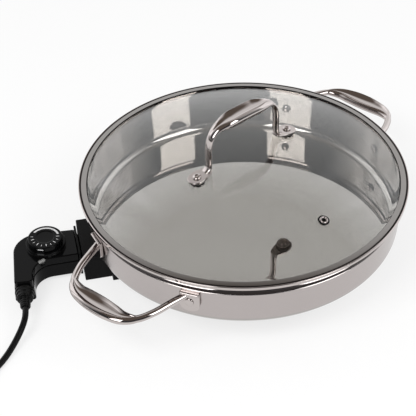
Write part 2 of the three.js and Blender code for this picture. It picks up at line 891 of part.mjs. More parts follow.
function rimGeometry() {
  const skirt_outer = pan_mouth_radius - pan_sheet - skirt_gap;
  const skirt_inner = skirt_outer - rim_sheet;
  const cavity = rim_radius - rim_edge;
  const shelf_z = rim_bottom_z + rim_sheet;
  return ring([
    [rim_inner_radius, rim_top_z],
    [rim_radius - rim_round, rim_top_z],
    [rim_radius, rim_top_z - rim_round],
    [rim_radius, rim_bottom_z + rim_round],
    [rim_radius - rim_round, rim_bottom_z],
    [skirt_outer, rim_bottom_z],
    [skirt_outer, rim_bottom_z - skirt_drop],
    [skirt_inner, rim_bottom_z - skirt_drop],
    [skirt_inner, shelf_z],
    [cavity, shelf_z],
    [cavity, rim_top_z - rim_sheet],
    [rim_inner_radius, rim_top_z - rim_sheet],
  ], ring_sides);
}

function ventGeometry() {
  const top = clearance;
  const bottom = under_glass;
  return onDome(ring([
    [vent_hole_radius, top + vent_flange],
    [vent_flange_radius - vent_flange, top + vent_flange],
    [vent_flange_radius, top],
    [vent_shank_radius, top],
    [vent_shank_radius, bottom],
    [vent_flange_radius, bottom],
    [vent_flange_radius - vent_flange, bottom - vent_flange],
    [vent_hole_radius, bottom - vent_flange],
  ], small_sides), vent_place);
}

add(lid, 'lid_glass', glassGeometry(), glass);
add(lid, 'lid_rim', rimGeometry(), steel);
add(lid, 'vent_grommet', ventGeometry(), steel);

// Points of half of the lid handle, from its foot to the middle of the grip: shares of
// the leg's half span and of the handle's rise.
const half_arch_shares = [
  [1.12, 0.02], [1.02, 0.06], [1, 0.15], [1, 0.35], [0.99, 0.58], [0.93, 0.78],
  [0.78, 0.92], [0.42, 0.985], [0, 1],
];
const foot_lift = clearance + lid_washer_thick + clearance;

// Puts a geometry on the glass under the handle, in the handle's own turned frame.
function atHandleFoot(geometry, sign) {
  return onDome(geometry, { r: lid_handle_half_span, turn: sign > 0 ? 0 : 180 });
}

function lidFootGeometry(sign) {
  const half = lid_foot_width / 2;
  const inward = lid_handle_half_span - lid_leg_half_span + lid_leg_thick / 2;
  const shape = new THREE.Shape();
  shape.moveTo(-inward, -lid_leg_width / 2);
  shape.lineTo(-half * lid_foot_taper_share, -half);
  shape.lineTo(lid_foot_reach - half, -half);
  shape.absarc(lid_foot_reach - half, 0, half, -Math.PI / 2, Math.PI / 2, false);
  shape.lineTo(-half * lid_foot_taper_share, half);
  shape.lineTo(-inward, lid_leg_width / 2);
  return atHandleFoot(prism(shape, foot_lift, foot_lift + lid_foot_thick, tiny_sides), sign);
}

function lidHandleGeometry() {
  const foot_z = domeZ(lid_leg_half_span) + foot_lift;
  const half = half_arch_shares.map(([out, rise]) => vec(
    lid_leg_half_span * out, 0, foot_z + lid_foot_thick / 2 + lid_handle_rise * rise,
  ));
  half[0].z = domeZ(half[0].x) + foot_lift + lid_foot_thick / 2;
  const mirrored = half.slice(0, -1).reverse().map((p) => vec(-p.x, 0, p.z));
  const curve = new THREE.CatmullRomCurve3([...half, ...mirrored], false, 'centripetal');
  const flare = lid_leg_half_span * arch_flare_share;
  const full = lid_leg_half_span * arch_full_share;
  const bar = sweptBar(curve, arch_steps, arch_sides, (p) => {
    const share = smooth((flare - Math.abs(p.x)) / (flare - full));
    return {
      half_width: (lid_leg_width + (lid_grip_width - lid_leg_width) * share) / 2,
      half_thick: (lid_leg_thick + (lid_grip_thick - lid_leg_thick) * share) / 2,
      dish: lid_grip_dish * share,
    };
  }, () => vec(0, 1, 0));
  const feet = [-1, 1].map((sign) => lidFootGeometry(sign));
  const under = [-1, 1].map((sign) => (
    atHandleFoot(post(lid_foot_width * 2, foot_lift - overrun * 2, foot_lift), sign)));
  const holes = [-1, 1].map((sign) => (
    atHandleFoot(post(lid_screw_radius + clearance, 0, foot_lift + lid_foot_thick + overrun), sign)));
  return without(joined(without(bar, ...under), ...feet), ...holes);
}

add(lid_handle_group, 'lid_handle', lidHandleGeometry(), steel);
[-1, 1].forEach((sign, k) => {
  const plate_top = foot_lift + lid_foot_thick;
  const nut_bottom = under_glass - lid_nut_height;
  const screw_end = nut_bottom + lid_nut_height / 2;
  const washer = tubePost(lid_foot_width / 2 - clearance, lid_screw_radius + clearance,
    clearance, clearance + lid_washer_thick, round_sides);
  const screw = turned([
    [0, screw_end],
    [lid_screw_radius, screw_end],
    [lid_screw_radius, plate_top + clearance],
    [lid_screw_head_radius, plate_top + clearance],
    [lid_screw_head_radius, plate_top + clearance + lid_screw_head * screw_edge_share],
    [lid_screw_head_radius * screw_crown_radius_share,
      plate_top + clearance + lid_screw_head * screw_crown_share],
    [0, plate_top + clearance + lid_screw_head],
  ], small_sides);
  const nut = turned([
    [0, nut_bottom],
    [lid_nut_radius * nut_tip_radius_share, nut_bottom + lid_nut_height * nut_tip_share],
    [lid_nut_radius, nut_bottom + lid_nut_height * nut_side_share],
    [lid_nut_radius, under_glass - lid_nut_flange],
    [lid_nut_flange_radius, under_glass - lid_nut_flange],
    [lid_nut_flange_radius, under_glass],
    [lid_screw_radius + clearance, under_glass],
    [lid_screw_radius + clearance, screw_end - clearance],
    [0, screw_end - clearance],
  ], small_sides);
  add(lid_handle_group, `lid_washer_${k + 1}`, atHandleFoot(washer, sign), silicone);
  add(lid_handle_group, `lid_screw_${k + 1}`, atHandleFoot(screw, sign), steel);
  add(lid_handle_group, `lid_nut_${k + 1}`, atHandleFoot(nut, sign), steel);
});

// Temperature control. Its own frame has x outwards along the probe and y along the leg.
function legEnd() {
  const along = new THREE.Vector2(Math.sin(radians(leg_yaw)), Math.cos(radians(leg_yaw)));
  const right = new THREE.Vector2(along.y, -along.x);
  return { end: new THREE.Vector2(leg_end_n, leg_end_t), along, right };
}

// A point of the leg's plan, back from its end and out from its centre line.
function legPoint(back, out) {
  const { end, along, right } = legEnd();
  return end.clone().addScaledVector(along, -back).addScaledVector(right, out);
}

// Centre of the round inside corner between the body and the leg.
function filletCenter() {
  const { end, right } = legEnd();
  const y = control_near_half + elbow_fillet;
  const x = (end.dot(right) - leg_half_width - elbow_fillet - y * right.y) / right.x;
  return new THREE.Vector2(x, y);
}

// Centre of the round outside corner. The far side lies square to the leg.
function elbowCenter() {
  const { end, along, right } = legEnd();
  const far_start = new THREE.Vector2(control_start, -control_far_half);
  const across = end.dot(right) + leg_half_width - elbow_radius;
  return right.clone().multiplyScalar(across)
    .addScaledVector(along, far_start.dot(along) + elbow_radius);
}

function controlOutline(inset) {
  const yaw = radians(leg_yaw);
  const quarter = Math.PI / 2;
  const leg = leg_half_width - inset;
  const elbow = elbowCenter();
  const fillet = filletCenter();
  const outer = legPoint(inset + leg_corner, leg - leg_corner);
  const inner = legPoint(inset + leg_corner, leg_corner - leg);
  const shape = new THREE.Shape();
  shape.moveTo(control_start + inset, control_near_half - inset);
  shape.lineTo(control_start + inset, inset - control_far_half);
  shape.absarc(elbow.x, elbow.y, elbow_radius - inset, -quarter - yaw, -yaw, false);
  shape.absarc(outer.x, outer.y, leg_corner, -yaw, quarter - yaw, false);
  shape.absarc(inner.x, inner.y, leg_corner, quarter - yaw, 2 * quarter - yaw, false);
  shape.absarc(fillet.x, fillet.y, elbow_fillet + inset, -yaw, -quarter, true);
  return shape;
}

// A solid whose outline changes with height, from [height, inset] pairs.
function stackedOutlines(levels) {
  const outlines = levels.map(([, inset]) => controlOutline(inset).getPoints(outline_steps));
  const count = outlines[0].length;
  const positions = levels.flatMap(([z], k) => outlines[k].flatMap((p) => [p.x, p.y, z]));
  const index = [];
  for (let i = 0; i + 1 < levels.length; i += 1) {
    for (let k = 0; k < count; k += 1) {
      const a = i * count + k;
      const b = i * count + ((k + 1) % count);
      index.push(a, b, b + count, a, b + count, a + count);
    }
  }
  const last = (levels.length - 1) * count;
  THREE.ShapeUtils.triangulateShape(outlines[0], []).forEach(([a, b, c]) => index.push(c, b, a));
  THREE.ShapeUtils.triangulateShape(outlines[levels.length - 1], []).forEach(([a, b, c]) => (
    index.push(last + a, last + b, last + c)));
  const geometry = new THREE.BufferGeometry();
  geometry.setAttribute('position', new THREE.Float32BufferAttribute(positions, 3));
  geometry.setIndex(index);
  return cleaned(geometry);
}

function dialPlaced(geometry) {
  return geometry.translate(dial_n, dial_t, 0);
}

const cavity_low = control_bottom + shell_wall;
const cavity_high = control_top - shell_wall;
const nose_hole_radius = probe_radius + clearance;
const sleeve_outer = pin_radius + clearance + sleeve_wall;
const sleeve_start = socket_back + 3 * clearance;
const sleeve_end = sleeve_start + sleeve_length;

function reliefRootHole() {
  return inLegFrame(alongY(post(relief_neck_radius + clearance, -shell_wall - overrun, overrun)));
}

// Places a geometry made along Y from the origin at the middle of the leg's end.
function inLegFrame(geometry) {
  return geometry.rotateZ(-radians(leg_yaw)).translate(leg_end_n, leg_end_t, leg_axis_z);
}

const shell_screw_inset = shell_wall + shell_post_radius * shell_post_clear_share;
const shell_screw_places = [
  new THREE.Vector2(control_start + 2 * shell_screw_inset, shell_screw_inset - control_far_half),
  new THREE.Vector2(dial_n + turret_radius / 2, shell_screw_inset - control_far_half),
  legPoint(3 * shell_screw_inset, 0),
];

// The space outwards of the nose's flange and short of the leg's end.
function cutterSpace(low, high) {
  const space = block(
    [control_start, -2 * control_near_half, low],
    [leg_end_n + 2 * leg_half_width, leg_end_t + 2 * control_near_half, high],
  );
  const beyond = inLegFrame(block(
    [-2 * control_near_half, 0, low - leg_axis_z],
    [2 * control_near_half, 3 * control_near_half, high + overrun],
  ));
  return without(space, beyond);
}

// Places a geometry, made along Z with its length on X, square onto the bevel of the inside corner.
function atLens(geometry) {
  const fillet = filletCenter();
  const turn = Math.asin((lens_n - fillet.x) / elbow_fillet);
  const reach = elbow_fillet + shell_bevel / 2;
  return geometry.rotateX(-Math.PI / 4).rotateZ(turn).translate(
    fillet.x + reach * Math.sin(turn),
    fillet.y - reach * Math.cos(turn),
    control_top - shell_bevel / 2,
  );
}

function lensShape(grow, low, high) {
  const shape = roundedRect(lens_length / 2 + grow, lens_height / 2 + grow, lens_height / 2);
  return atLens(prism(shape, low, high));
}

function lowerShellGeometry() {
  const seam = parting_z - clearance / 2;
  const flared = stackedOutlines([
    [control_bottom, shell_bevel - control_flare],
    [control_bottom + shell_bevel, -control_flare],
    [seam - shell_bevel, -control_flare / 2],
    [seam, shell_bevel / 2 - control_flare / 2],
  ]);
  const half = common(flared, cutterSpace(-overrun, seam));
  const cavity = prism(controlOutline(shell_wall), cavity_low, parting_z + overrun, outline_steps);
  const posts = shell_screw_places.map(({ x, y }) => (
    post(shell_post_radius, control_bottom + shell_wall / 2, parting_z - clearance / 2).translate(x, y, 0)));
  const bores = shell_screw_places.flatMap(({ x, y }) => [
    post(shell_screw_radius + clearance, control_bottom - overrun, parting_z + overrun).translate(x, y, 0),
    post(shell_screw_head_radius + clearance, control_bottom - overrun, control_bottom + shell_wall / 2)
      .translate(x, y, 0),
  ]);
  return without(joined(without(half, cavity), ...posts), ...bores, reliefRootHole(), noseHoles());
}

function noseHoles() {
  const slot = roundedRect(sleeve_outer + clearance, terminal_half_pitch + sleeve_outer + clearance,
    sleeve_outer);
  return alongX(prism(slot, control_start - overrun, control_start + shell_wall + overrun))
    .translate(0, 0, socket_z);
}

function upperShellGeometry() {
  const case_top = stackedOutlines([
    [parting_z + clearance / 2, 0],
    [control_top - shell_bevel, 0],
    [control_top, shell_bevel],
  ]);
  const turret = dialPlaced(post(turret_radius, parting_z + shell_wall, turret_top, round_sides));
  const index_post = dialPlaced(block(
    [dial_radius + 2 * clearance, -index_width / 2, control_top],
    [turret_radius, index_width / 2, dial_top - dial_bevel],
  ).rotateZ(radians(index_turn)));
  const half = joined(case_top, turret, index_post);
  const cavity = prism(controlOutline(shell_wall), parting_z - overrun, cavity_high, outline_steps);
  const posts = shell_screw_places.map(({ x, y }) => (
    post(shell_post_radius, parting_z + clearance / 2, cavity_high + shell_wall / 2).translate(x, y, 0)));
  const bores = shell_screw_places.map(({ x, y }) => (
    post(shell_screw_radius + clearance, parting_z - overrun, cavity_high - shell_wall).translate(x, y, 0)));
  const shaft_hole = dialPlaced(post(dial_shaft_radius + clearance, parting_z, turret_top + overrun));
  return without(
    joined(without(half, cavity), ...posts),
    ...bores, shaft_hole, reliefRootHole(), noseHoles(), lensShape(clearance, -lens_depth - overrun, overrun),
  );
}

add(control, 'control_lower_shell', lowerShellGeometry(), gloss_black);
add(control, 'control_upper_shell', upperShellGeometry(), gloss_black);

function noseGeometry() {
  const low = control_bottom - nose_flange_rim;
  const high = control_top + nose_flange_rim;
  const middle = (low + high) / 2;
  const flange = alongX(prism(
    roundedRect((high - low) / 2, nose_flange_half_width, nose_flange_corner),
    guard_face + control_gap, guard_face + control_gap + nose_flange_thick - clearance,
  )).translate(0, 0, middle);
  const plug_in = alongX(prism(
    roundedRect(socket_half_height - clearance, socket_half_width - clearance, nose_corner),
    socket_back + clearance, guard_face + control_gap + nose_flange_thick / 2,
  )).translate(0, 0, socket_z);
  const holes = [-1, 1].map((sign) => (
    alongX(post(sleeve_outer + clearance, socket_back - overrun, control_start + overrun))
      .translate(0, sign * terminal_half_pitch, socket_z)));
  const probe_hole = alongX(post(nose_hole_radius, socket_back - overrun, control_start + overrun))
    .translate(0, 0, socket_z);
  return without(joined(flange, plug_in), ...holes, probe_hole);
}

add(control, 'control_nose', noseGeometry(), matte_black);

[-1, 1].forEach((sign, k) => {
  const sleeve = alongX(tubePost(sleeve_outer, pin_radius + clearance, sleeve_start, sleeve_end))
    .translate(0, sign * terminal_half_pitch, socket_z);
  add(control, `contact_sleeve_${k + 1}`, sleeve, brass);
});

const probe_start = well_start + well_wall + clearance;
const bracket_start = control_start + shell_wall + clearance;
const probe_end = bracket_start + clearance + bracket_lug;
add(control, 'probe_rod', alongX(turned([
  [0, probe_start],
  [probe_radius * probe_tip_share, probe_start],
  [probe_radius, probe_start + probe_radius * probe_tip_share],
  [probe_radius, probe_end],
  [0, probe_end],
], small_sides)).translate(0, 0, socket_z), steel);

// Thermostat: a bracket on the lower shell's floor, an insulator, two leaves and a lamp
const bracket_floor = cavity_low + clearance;

function bracketGeometry() {
  const half = bracket_width / 2;
  const strip = block(
    [bracket_start, -half / 2, bracket_floor],
    [bracket_start + bracket_length, half / 2, bracket_floor + bracket_thick],
  );
  const lug = block(
    [bracket_start, -half / 2, bracket_floor],
    [bracket_start + bracket_lug / 2, half / 2, socket_z + probe_radius + bracket_lug_rise],
  );
  const bore = alongX(post(nose_hole_radius, bracket_start - overrun, bracket_start + bracket_lug + overrun))
    .translate(0, 0, socket_z);
  return without(joined(strip, lug), bore);
}

const insulator_x = probe_end + insulator_gap;
const insulator_low = bracket_floor + bracket_thick + clearance;
const leaf_low = insulator_low + insulator_height + clearance;
add(control, 'thermostat_bracket', bracketGeometry(), satin_steel);
add(control, 'thermostat_insulator', block(
  [insulator_x, -insulator_width / 2, insulator_low],
  [insulator_x + insulator_length, insulator_width / 2, insulator_low + insulator_height],
), ceramic);
['bimetal_leaf', 'contact_leaf'].forEach((name, k) => {
  const low = leaf_low + k * (leaf_thick + clearance);
  add(control, name, block(
    [insulator_x, -leaf_width / 2, low],
    [insulator_x + leaf_length - k * leaf_width, leaf_width / 2, low + leaf_thick],
  ), k ? brass : satin_steel);
});

add(control, 'indicator_lens', lensShape(0, -lens_depth, lens_proud), white_lens);
add(control, 'indicator_lamp', atLens(alongX(turned([
  [0, -lamp_length / 2],
  [lamp_radius * lamp_tip_share, -lamp_length / 2],
  [lamp_radius, lamp_radius / 2 - lamp_length / 2],
  [lamp_radius, lamp_length / 2],
  [0, lamp_length / 2],
], tiny_sides)).translate(0, 0, -lens_depth - clearance - lamp_radius)), white_lens);

shell_screw_places.forEach(({ x, y }, k) => {
  const head_low = control_bottom - clearance + shell_wall / 2 - shell_screw_head;
  const screw_end = cavity_high - shell_wall - shell_screw_slack;
  const screw = turned([
    [0, head_low],
    [shell_screw_head_radius, head_low],
    [shell_screw_head_radius, head_low + shell_screw_head],
    [shell_screw_radius, head_low + shell_screw_head],
    [shell_screw_radius, screw_end],
    [0, screw_end],
  ], tiny_sides).translate(x, y, 0);
  add(control, `shell_screw_${k + 1}`, screw, satin_steel);
});

// Dial and its shaft
function dialGeometry() {
  const knob = turned([
    [0, dial_bottom],
    [dial_radius, dial_bottom],
    [dial_radius, dial_top - dial_bevel],
    [dial_radius - dial_bevel, dial_top],
    [dial_recess_radius, dial_top],
    [dial_recess_radius - dial_recess, dial_top - dial_recess],
    [0, dial_top - dial_recess],
  ], ring_sides / 2);
  const socket = post(dial_shaft_radius + clearance, dial_bottom - overrun, dial_bottom + dial_socket_depth);
  return dialPlaced(without(knob, socket));
}

function dialShaftGeometry() {
  const cam_top = cavity_high - clearance;
  const shaft = post(dial_shaft_radius, cam_top - cam_thick, dial_bottom + dial_socket_depth - clearance);
  const cam = post(cam_radius, cam_top - cam_thick, cam_top).translate(cam_offset, 0, 0);
  return dialPlaced(joined(shaft, cam));
}

add(control, 'temperature_dial', dialGeometry(), gloss_black);
add(control, 'dial_shaft', dialShaftGeometry(), satin_steel);

// Strain relief: a ribbed cone and a ribbed sleeve, with a neck held between the shells
function ribbed(profile, low, high, from_radius, to_radius, ribs) {
  const pitch = (high - low) / ribs;
  for (let k = 0; k < ribs; k += 1) {
    const wide = from_radius + ((to_radius - from_radius) * (k + 0.5)) / ribs;
    const start = low + pitch * k;
    const narrow = wide - relief_rib_depth;
    profile.push([wide, start + pitch * rib_start_share], [wide, start + pitch * rib_end_share]);
    profile.push([narrow, start + pitch * groove_start_share], [narrow, start + pitch]);
  }
}

function reliefGeometry() {
  const start = clearance;
  const root = start - shell_wall - relief_neck / 2;
  const profile = [[0, root], [relief_neck_radius, root], [relief_neck_radius, start]];
  ribbed(profile, start, relief_step, relief_root_radius, relief_step_radius, relief_ribs);
  ribbed(profile, relief_step, relief_length - relief_rib_depth,
    relief_sleeve_radius, relief_tip_radius + relief_rib_depth / 2, relief_sleeve_ribs);
  profile.push([relief_tip_radius - relief_rib_depth / 2, relief_length], [0, relief_length]);
  return inLegFrame(alongY(turned(profile, small_sides)));
}

add(control, 'strain_relief', reliefGeometry(), cord_black);

// Two conductors inside the leg, from the strain relief to the contact sleeves
[1, -1].forEach((sign, k) => {
  const start = shell_wall + relief_neck / 2 + clearance;
  const pitch = (relief_neck_radius - wire_radius) / 2;
  const detour = shell_post_radius + 2 * wire_radius;
  const inLeg = (back, out, z) => {
    const p = legPoint(back, -sign * out);
    return vec(p.x, p.y, z);
  };
  const turn_n = dial_n + turret_radius * wire_turn_shares[k].out;
  const turn_t = control_near_half * wire_turn_shares[k].along;
  const over_z = leg_axis_z + 3 * wire_radius;
  const side_t = sign * terminal_half_pitch;
  const path = new THREE.CatmullRomCurve3([
    inLeg(start, pitch, leg_axis_z),
    inLeg(start + wire_radius, pitch, leg_axis_z),
    inLeg(start + wire_lead, detour * wire_detour_share, leg_axis_z),
    inLeg(3 * shell_screw_inset, detour, leg_axis_z),
    vec(turn_n, turn_t, over_z),
    vec(dial_n, side_t * wire_side_share, over_z),
    vec(sleeve_end + wire_lead, side_t, socket_z + wire_radius / 2),
    vec(sleeve_end + clearance, side_t, socket_z),
  ], false, 'centripetal');
  add(control, `conductor_${k + 1}`, tube(path, wire_radius, wire_sides, wire_steps), cord_black);
});

// The cord's free stretch, from the strain relief's tip to the table and the coil
const cord_route = [
  [-282.6, 101.2, 20],
  [-285.3, 98.0, 20],
  [-288.3, 94.9, 19.9],
  [-292.6, 91.0, 19.2],
  [-297.8, 87.6, 17.6],
  [-304.1, 84.6, 15.1],
  [-311.3, 82.0, 12.1],
  [-319.3, 79.4, 9.2],
  [-327.8, 76.8, 6.8],
  [-336.7, 74.1, 5.2],
  [-346.1, 71.5, 4.4],
  [-356.1, 69.2, 4.2],
  [-366.3, 67.1, 4.3],
  [-376.7, 65.0, 4.6],
  [-387.1, 62.7, 4.9],
  [-397.1, 60.7, 5.1],
  [-407.1, 58.6, 5.1],
].map((p) => vec(...p));
const cord_curve = new THREE.CatmullRomCurve3(cord_route);
add(object, 'cord', tube(cord_curve, cord_radius, cord_sides, cord_steps), cord_black);

// The rest of the cord's length, piled in two layers that spiral in and out again
const coil_pitch = 2 * cord_radius + coil_gap;
const cord_width = 2 * cord_radius;
const layer_climb = (coil_layers - 1) * coil_pitch;

function coilPlace() {
  const start = cord_route[cord_route.length - 1];
  const heading = cord_curve.getTangentAt(1).setZ(0).normalize();
  const inward = vec(heading.y, -heading.x, 0);
  const stretch = cord_curve.getLength() + cord_width + coil_tail;
  const turns = (cord_length - stretch) / (2 * Math.PI * coil_mean_radius);
  const begin = start.clone().addScaledVector(heading, clearance);
  const outer = coil_mean_radius + (coil_pitch * turns) / 4;
  const center = begin.clone().addScaledVector(heading, cord_width).addScaledVector(inward, outer);
  return { begin, center, turns, first: Math.atan2(-inward.y, -inward.x) };
}

// A point of the coil's winding, by the turns made since the middle of the winding. It
// climbs to the upper layer within the half turn round the middle.
function windingPoint({ center, turns, first }, made) {
  const middle_radius = coil_mean_radius - (coil_pitch * turns) / 4;
  const radius = middle_radius + coil_pitch * Math.abs(made);
  const angle = first - 2 * Math.PI * (made + turns / 2);
  const climb = smooth(2 * made + 0.5) * layer_climb;
  return center.clone().add(vec(radius * Math.cos(angle), radius * Math.sin(angle), climb));
}

function coilPath() {
  const place = coilPlace();
  const steps = Math.round(place.turns * coil_steps);
  const wound = Array.from({ length: steps + 1 }, (_, k) => (
    windingPoint(place, (k / steps - 0.5) * place.turns)));
  const last = wound[steps];
  const out = last.clone().sub(wound[steps - 1]).setZ(0).normalize();
  const drop = plug_thick / 2 - last.z;
  const tail_steps = 5;
  const tail = Array.from({ length: tail_steps }, (_, k) => {
    const share = (k + 1) / tail_steps;
    return last.clone().addScaledVector(out, coil_tail * share).add(vec(0, 0, drop * smooth(share)));
  });
  const end = tail[tail_steps - 1].clone().addScaledVector(out, cord_width);
  return { points: [place.begin, ...wound, ...tail, end], out, end };
}

function windingRings(points) {
  return points.map((p, k) => {
    const before = points[Math.max(0, k - 1)];
    const after = points[Math.min(points.length - 1, k + 1)];
    const side = new THREE.Vector3().crossVectors(after.clone().sub(before), vec(0, 0, 1)).normalize();
    return Array.from({ length: coil_sides }, (_, s) => {
      const angle = (2 * Math.PI * s) / coil_sides;
      return p.clone().addScaledVector(side, cord_radius * Math.cos(angle))
        .add(vec(0, 0, cord_radius * Math.sin(angle)));
    });
  });
}

// The least distance between the skins of passes that are half a loop or more apart.
function leastGap(points) {
  let least = Infinity;
  points.forEach((p, i) => points.slice(i + coil_steps / 2).forEach((q) => {
    least = Math.min(least, p.distanceTo(q) - cord_width);
  }));
  return least;
}

const coil = coilPath();
console.log(`cord coil: least gap between passes ${leastGap(coil.points).toFixed(2)} mm`);
add(object, 'cord_coil', skinned(windingRings(coil.points)), cord_black);

// A strap round the coil where its two layers lie one on the other
function tieGeometry() {
  const place = coilPlace();
  const low = windingPoint(place, -0.5);
  const high = windingPoint(place, 0.5);
  const middle = low.clone().add(high).multiplyScalar(0.5);
  const half_width = cord_radius + low.clone().sub(high).setZ(0).length() / 2 + 3 * clearance;
  const half_height = (high.z - low.z) / 2 + cord_radius + clearance;
  const round = cord_radius;
  const strap = prism(roundedRect(half_width + tie_thick, half_height + tie_thick, round + tie_thick),
    -tie_width / 2, tie_width / 2);
  const inside = prism(roundedRect(half_width, half_height, round), -tie_width, tie_width);
  const radial = middle.clone().sub(place.center).setZ(0);
  return without(strap, inside).rotateX(Math.PI / 2)
    .rotateZ(Math.atan2(radial.y, radial.x)).translate(middle.x, middle.y, middle.z);
}

add(object, 'cord_tie', tieGeometry(), silicone);

// Mains plug at the end of the coil's tail, with its two blades
function atPlug(geometry) {
  return geometry.rotateZ(Math.atan2(coil.out.y, coil.out.x)).translate(coil.end.x, coil.end.y, coil.end.z);
}

function plugGeometry() {
  const front = clearance + plug_neck + plug_length;
  const neck = alongX(turned([
    [0, clearance],
    [relief_tip_radius, clearance],
    [relief_tip_radius, clearance + plug_neck / 2],
    [plug_thick / 2 - plug_round / 2, clearance + plug_neck + plug_round],
    [0, clearance + plug_neck + plug_round],
  ], small_sides));
  const body = alongX(prism(
    roundedRect(plug_thick / 2, plug_width / 2, plug_round), clearance + plug_neck, front));
  const slots = [-1, 1].map((sign) => block(
    [front - blade_root - clearance, sign * blade_half_pitch - blade_thick / 2 - clearance,
      -blade_width / 2 - clearance],
    [front + overrun, sign * blade_half_pitch + blade_thick / 2 + clearance, blade_width / 2 + clearance],
  ));
  return atPlug(without(joined(neck, body), ...slots));
}

add(object, 'mains_plug', plugGeometry(), cord_black);
[-1, 1].forEach((sign, k) => {
  const root = clearance + plug_neck + plug_length - blade_root;
  add(object, `plug_blade_${k + 1}`, atPlug(block(
    [root, sign * blade_half_pitch - blade_thick / 2, -blade_width / 2],
    [root + blade_root + blade_length, sign * blade_half_pitch + blade_thick / 2, blade_width / 2],
  )), brass);
});

export default object;
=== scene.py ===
"""Looks of the electric skillet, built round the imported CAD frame.

Lengths are in millimetres and angles in degrees; meshes are scaled to metres as they are made.
"""

from math import asin, atan, atan2, copysign, cos, degrees, hypot, pi, radians, sin

import bmesh
import bpy
from mathutils import Matrix, Vector


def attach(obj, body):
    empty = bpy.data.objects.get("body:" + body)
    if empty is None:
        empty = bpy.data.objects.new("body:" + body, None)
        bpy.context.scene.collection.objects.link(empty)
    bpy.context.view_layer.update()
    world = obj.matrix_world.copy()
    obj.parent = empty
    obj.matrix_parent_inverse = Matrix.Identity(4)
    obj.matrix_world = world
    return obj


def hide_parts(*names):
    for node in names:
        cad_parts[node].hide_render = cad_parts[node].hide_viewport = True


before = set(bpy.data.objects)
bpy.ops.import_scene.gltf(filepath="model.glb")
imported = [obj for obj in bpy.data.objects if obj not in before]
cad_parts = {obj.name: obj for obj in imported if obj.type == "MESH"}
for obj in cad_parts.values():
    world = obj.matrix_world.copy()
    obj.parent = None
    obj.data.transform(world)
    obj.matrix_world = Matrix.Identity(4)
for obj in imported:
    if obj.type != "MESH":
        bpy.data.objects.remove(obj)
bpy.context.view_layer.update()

MM = 0.001
TAU = 2 * pi
SIDES = (-1, 1)
CLEARANCE = 0.3


def turn_matrix(*turns):
    """Turns of so many degrees about an axis, the last one made first."""
    out = Matrix.Identity(4)
    for angle, axis in turns:
        out = out @ Matrix.Rotation(radians(angle), 4, axis)
    return out


def linked(name, data):
    """A new object with this data, in the scene."""
    obj = bpy.data.objects.new(name, data)
    bpy.context.scene.collection.objects.link(obj)
    return obj


# The camera, fitted to the photograph, whose measures are in its pixels
LENS, SENSOR = 103.85, 36
PHOTO_FOCAL, PHOTO_CENTRE = 1200, 208
TARGET_PX, TARGET_Z = (242.93, 174.17), 100
CAMERA_TURN, CAMERA_ELEVATION, CAMERA_ROLL = 50.35, 38.26, -0.285
CAMERA_DISTANCE = 1481.6
CLIP_START, CLIP_END = 0.05, 50


def make_camera():
    """Looks down on the target, then rolls and swings until it has its place in the picture."""
    ax, ay = (degrees(atan((px - PHOTO_CENTRE) / PHOTO_FOCAL)) for px in TARGET_PX)
    down, swing = (turn_matrix(*turns) for turns in (
        ((-CAMERA_TURN, "Z"), (90 - CAMERA_ELEVATION, "X")),
        ((CAMERA_ROLL, "Z"), (ax, "Y"), (ay, "X"))))
    data = bpy.data.cameras.new("camera")
    data.sensor_fit = "HORIZONTAL"
    data.sensor_width, data.lens = SENSOR, LENS
    data.clip_start, data.clip_end = CLIP_START, CLIP_END
    cam = linked("camera", data)
    cam.matrix_world = down @ swing
    cam.location = (down @ Vector((0, 0, CAMERA_DISTANCE)) + Vector((0, 0, TARGET_Z))) * MM
    bpy.context.scene.camera = cam


make_camera()


# Shader nodes
def new_material(name, color, roughness, metallic=0, **sockets):
    mat = bpy.data.materials.new(name)
    mat.use_nodes = True
    bsdf = mat.node_tree.nodes["Principled BSDF"]
    sockets = {"Base Color": (*color, 1), "Roughness": roughness, "Metallic": metallic, **sockets}
    for key, value in sockets.items():
        bsdf.inputs[key.replace("_", " ")].default_value = value
    return mat, mat.node_tree, bsdf


def node(tree, kind, inputs=None, **settings):
    """A shader node. Each input is a value, or the socket that feeds it."""
    made = tree.nodes.new("ShaderNode" + kind)
    for key, value in settings.items():
        setattr(made, key, value)
    for key, value in (inputs or {}).items():
        if isinstance(value, bpy.types.NodeSocket):
            tree.links.new(value, made.inputs[key])
        else:
            made.inputs[key].default_value = value
    return made


def math_node(operation, a, b=0):
    return node(a.id_data, "Math", {0: a, 1: b}, operation=operation).outputs[0]


def times(a, b):
    return math_node("MULTIPLY", a, b)


def mapped(value, low, high, to_low=0, to_high=1):
    return node(value.id_data, "MapRange", {"Value": value, "From Min": low, "From Max": high,
                                            "To Min": to_low, "To Max": to_high}).outputs["Result"]


def noise(vector, scale, detail=3, roughness=0.5):
    return node(vector.id_data, "TexNoise", {"Vector": vector, "Scale": scale, "Detail": detail,
                                             "Roughness": roughness}).outputs["Fac"]


def object_coordinates(tree):
    return node(tree, "TexCoord").outputs["Object"]


def blend_colors(fac, a, b):
    """Colour a where fac is 0 and b where it is 1. A Mix node's colour sockets are its 6 and 7."""
    colors = {key: value if isinstance(value, bpy.types.NodeSocket) else (*value, 1)
              for key, value in ((6, a), (7, b))}
    return node(fac.id_data, "Mix", {0: fac, **colors}, data_type="RGBA").outputs[2]


def turned_coordinates(tree):
    """Coordinates that run fast across a turned part and slowly round it, as its marks do."""
    x, y, z = node(tree, "SeparateXYZ", {"Vector": object_coordinates(tree)}).outputs
    r = math_node("SQRT", math_node("ADD", times(x, x), times(y, y)))
    angle = math_node("ARCTAN2", y, x)
    return node(tree, "CombineXYZ", {"X": times(r, MARKS_ACROSS), "Y": times(z, MARKS_ACROSS),
                                     "Z": times(angle, MARKS_ROUND)}).outputs[0]


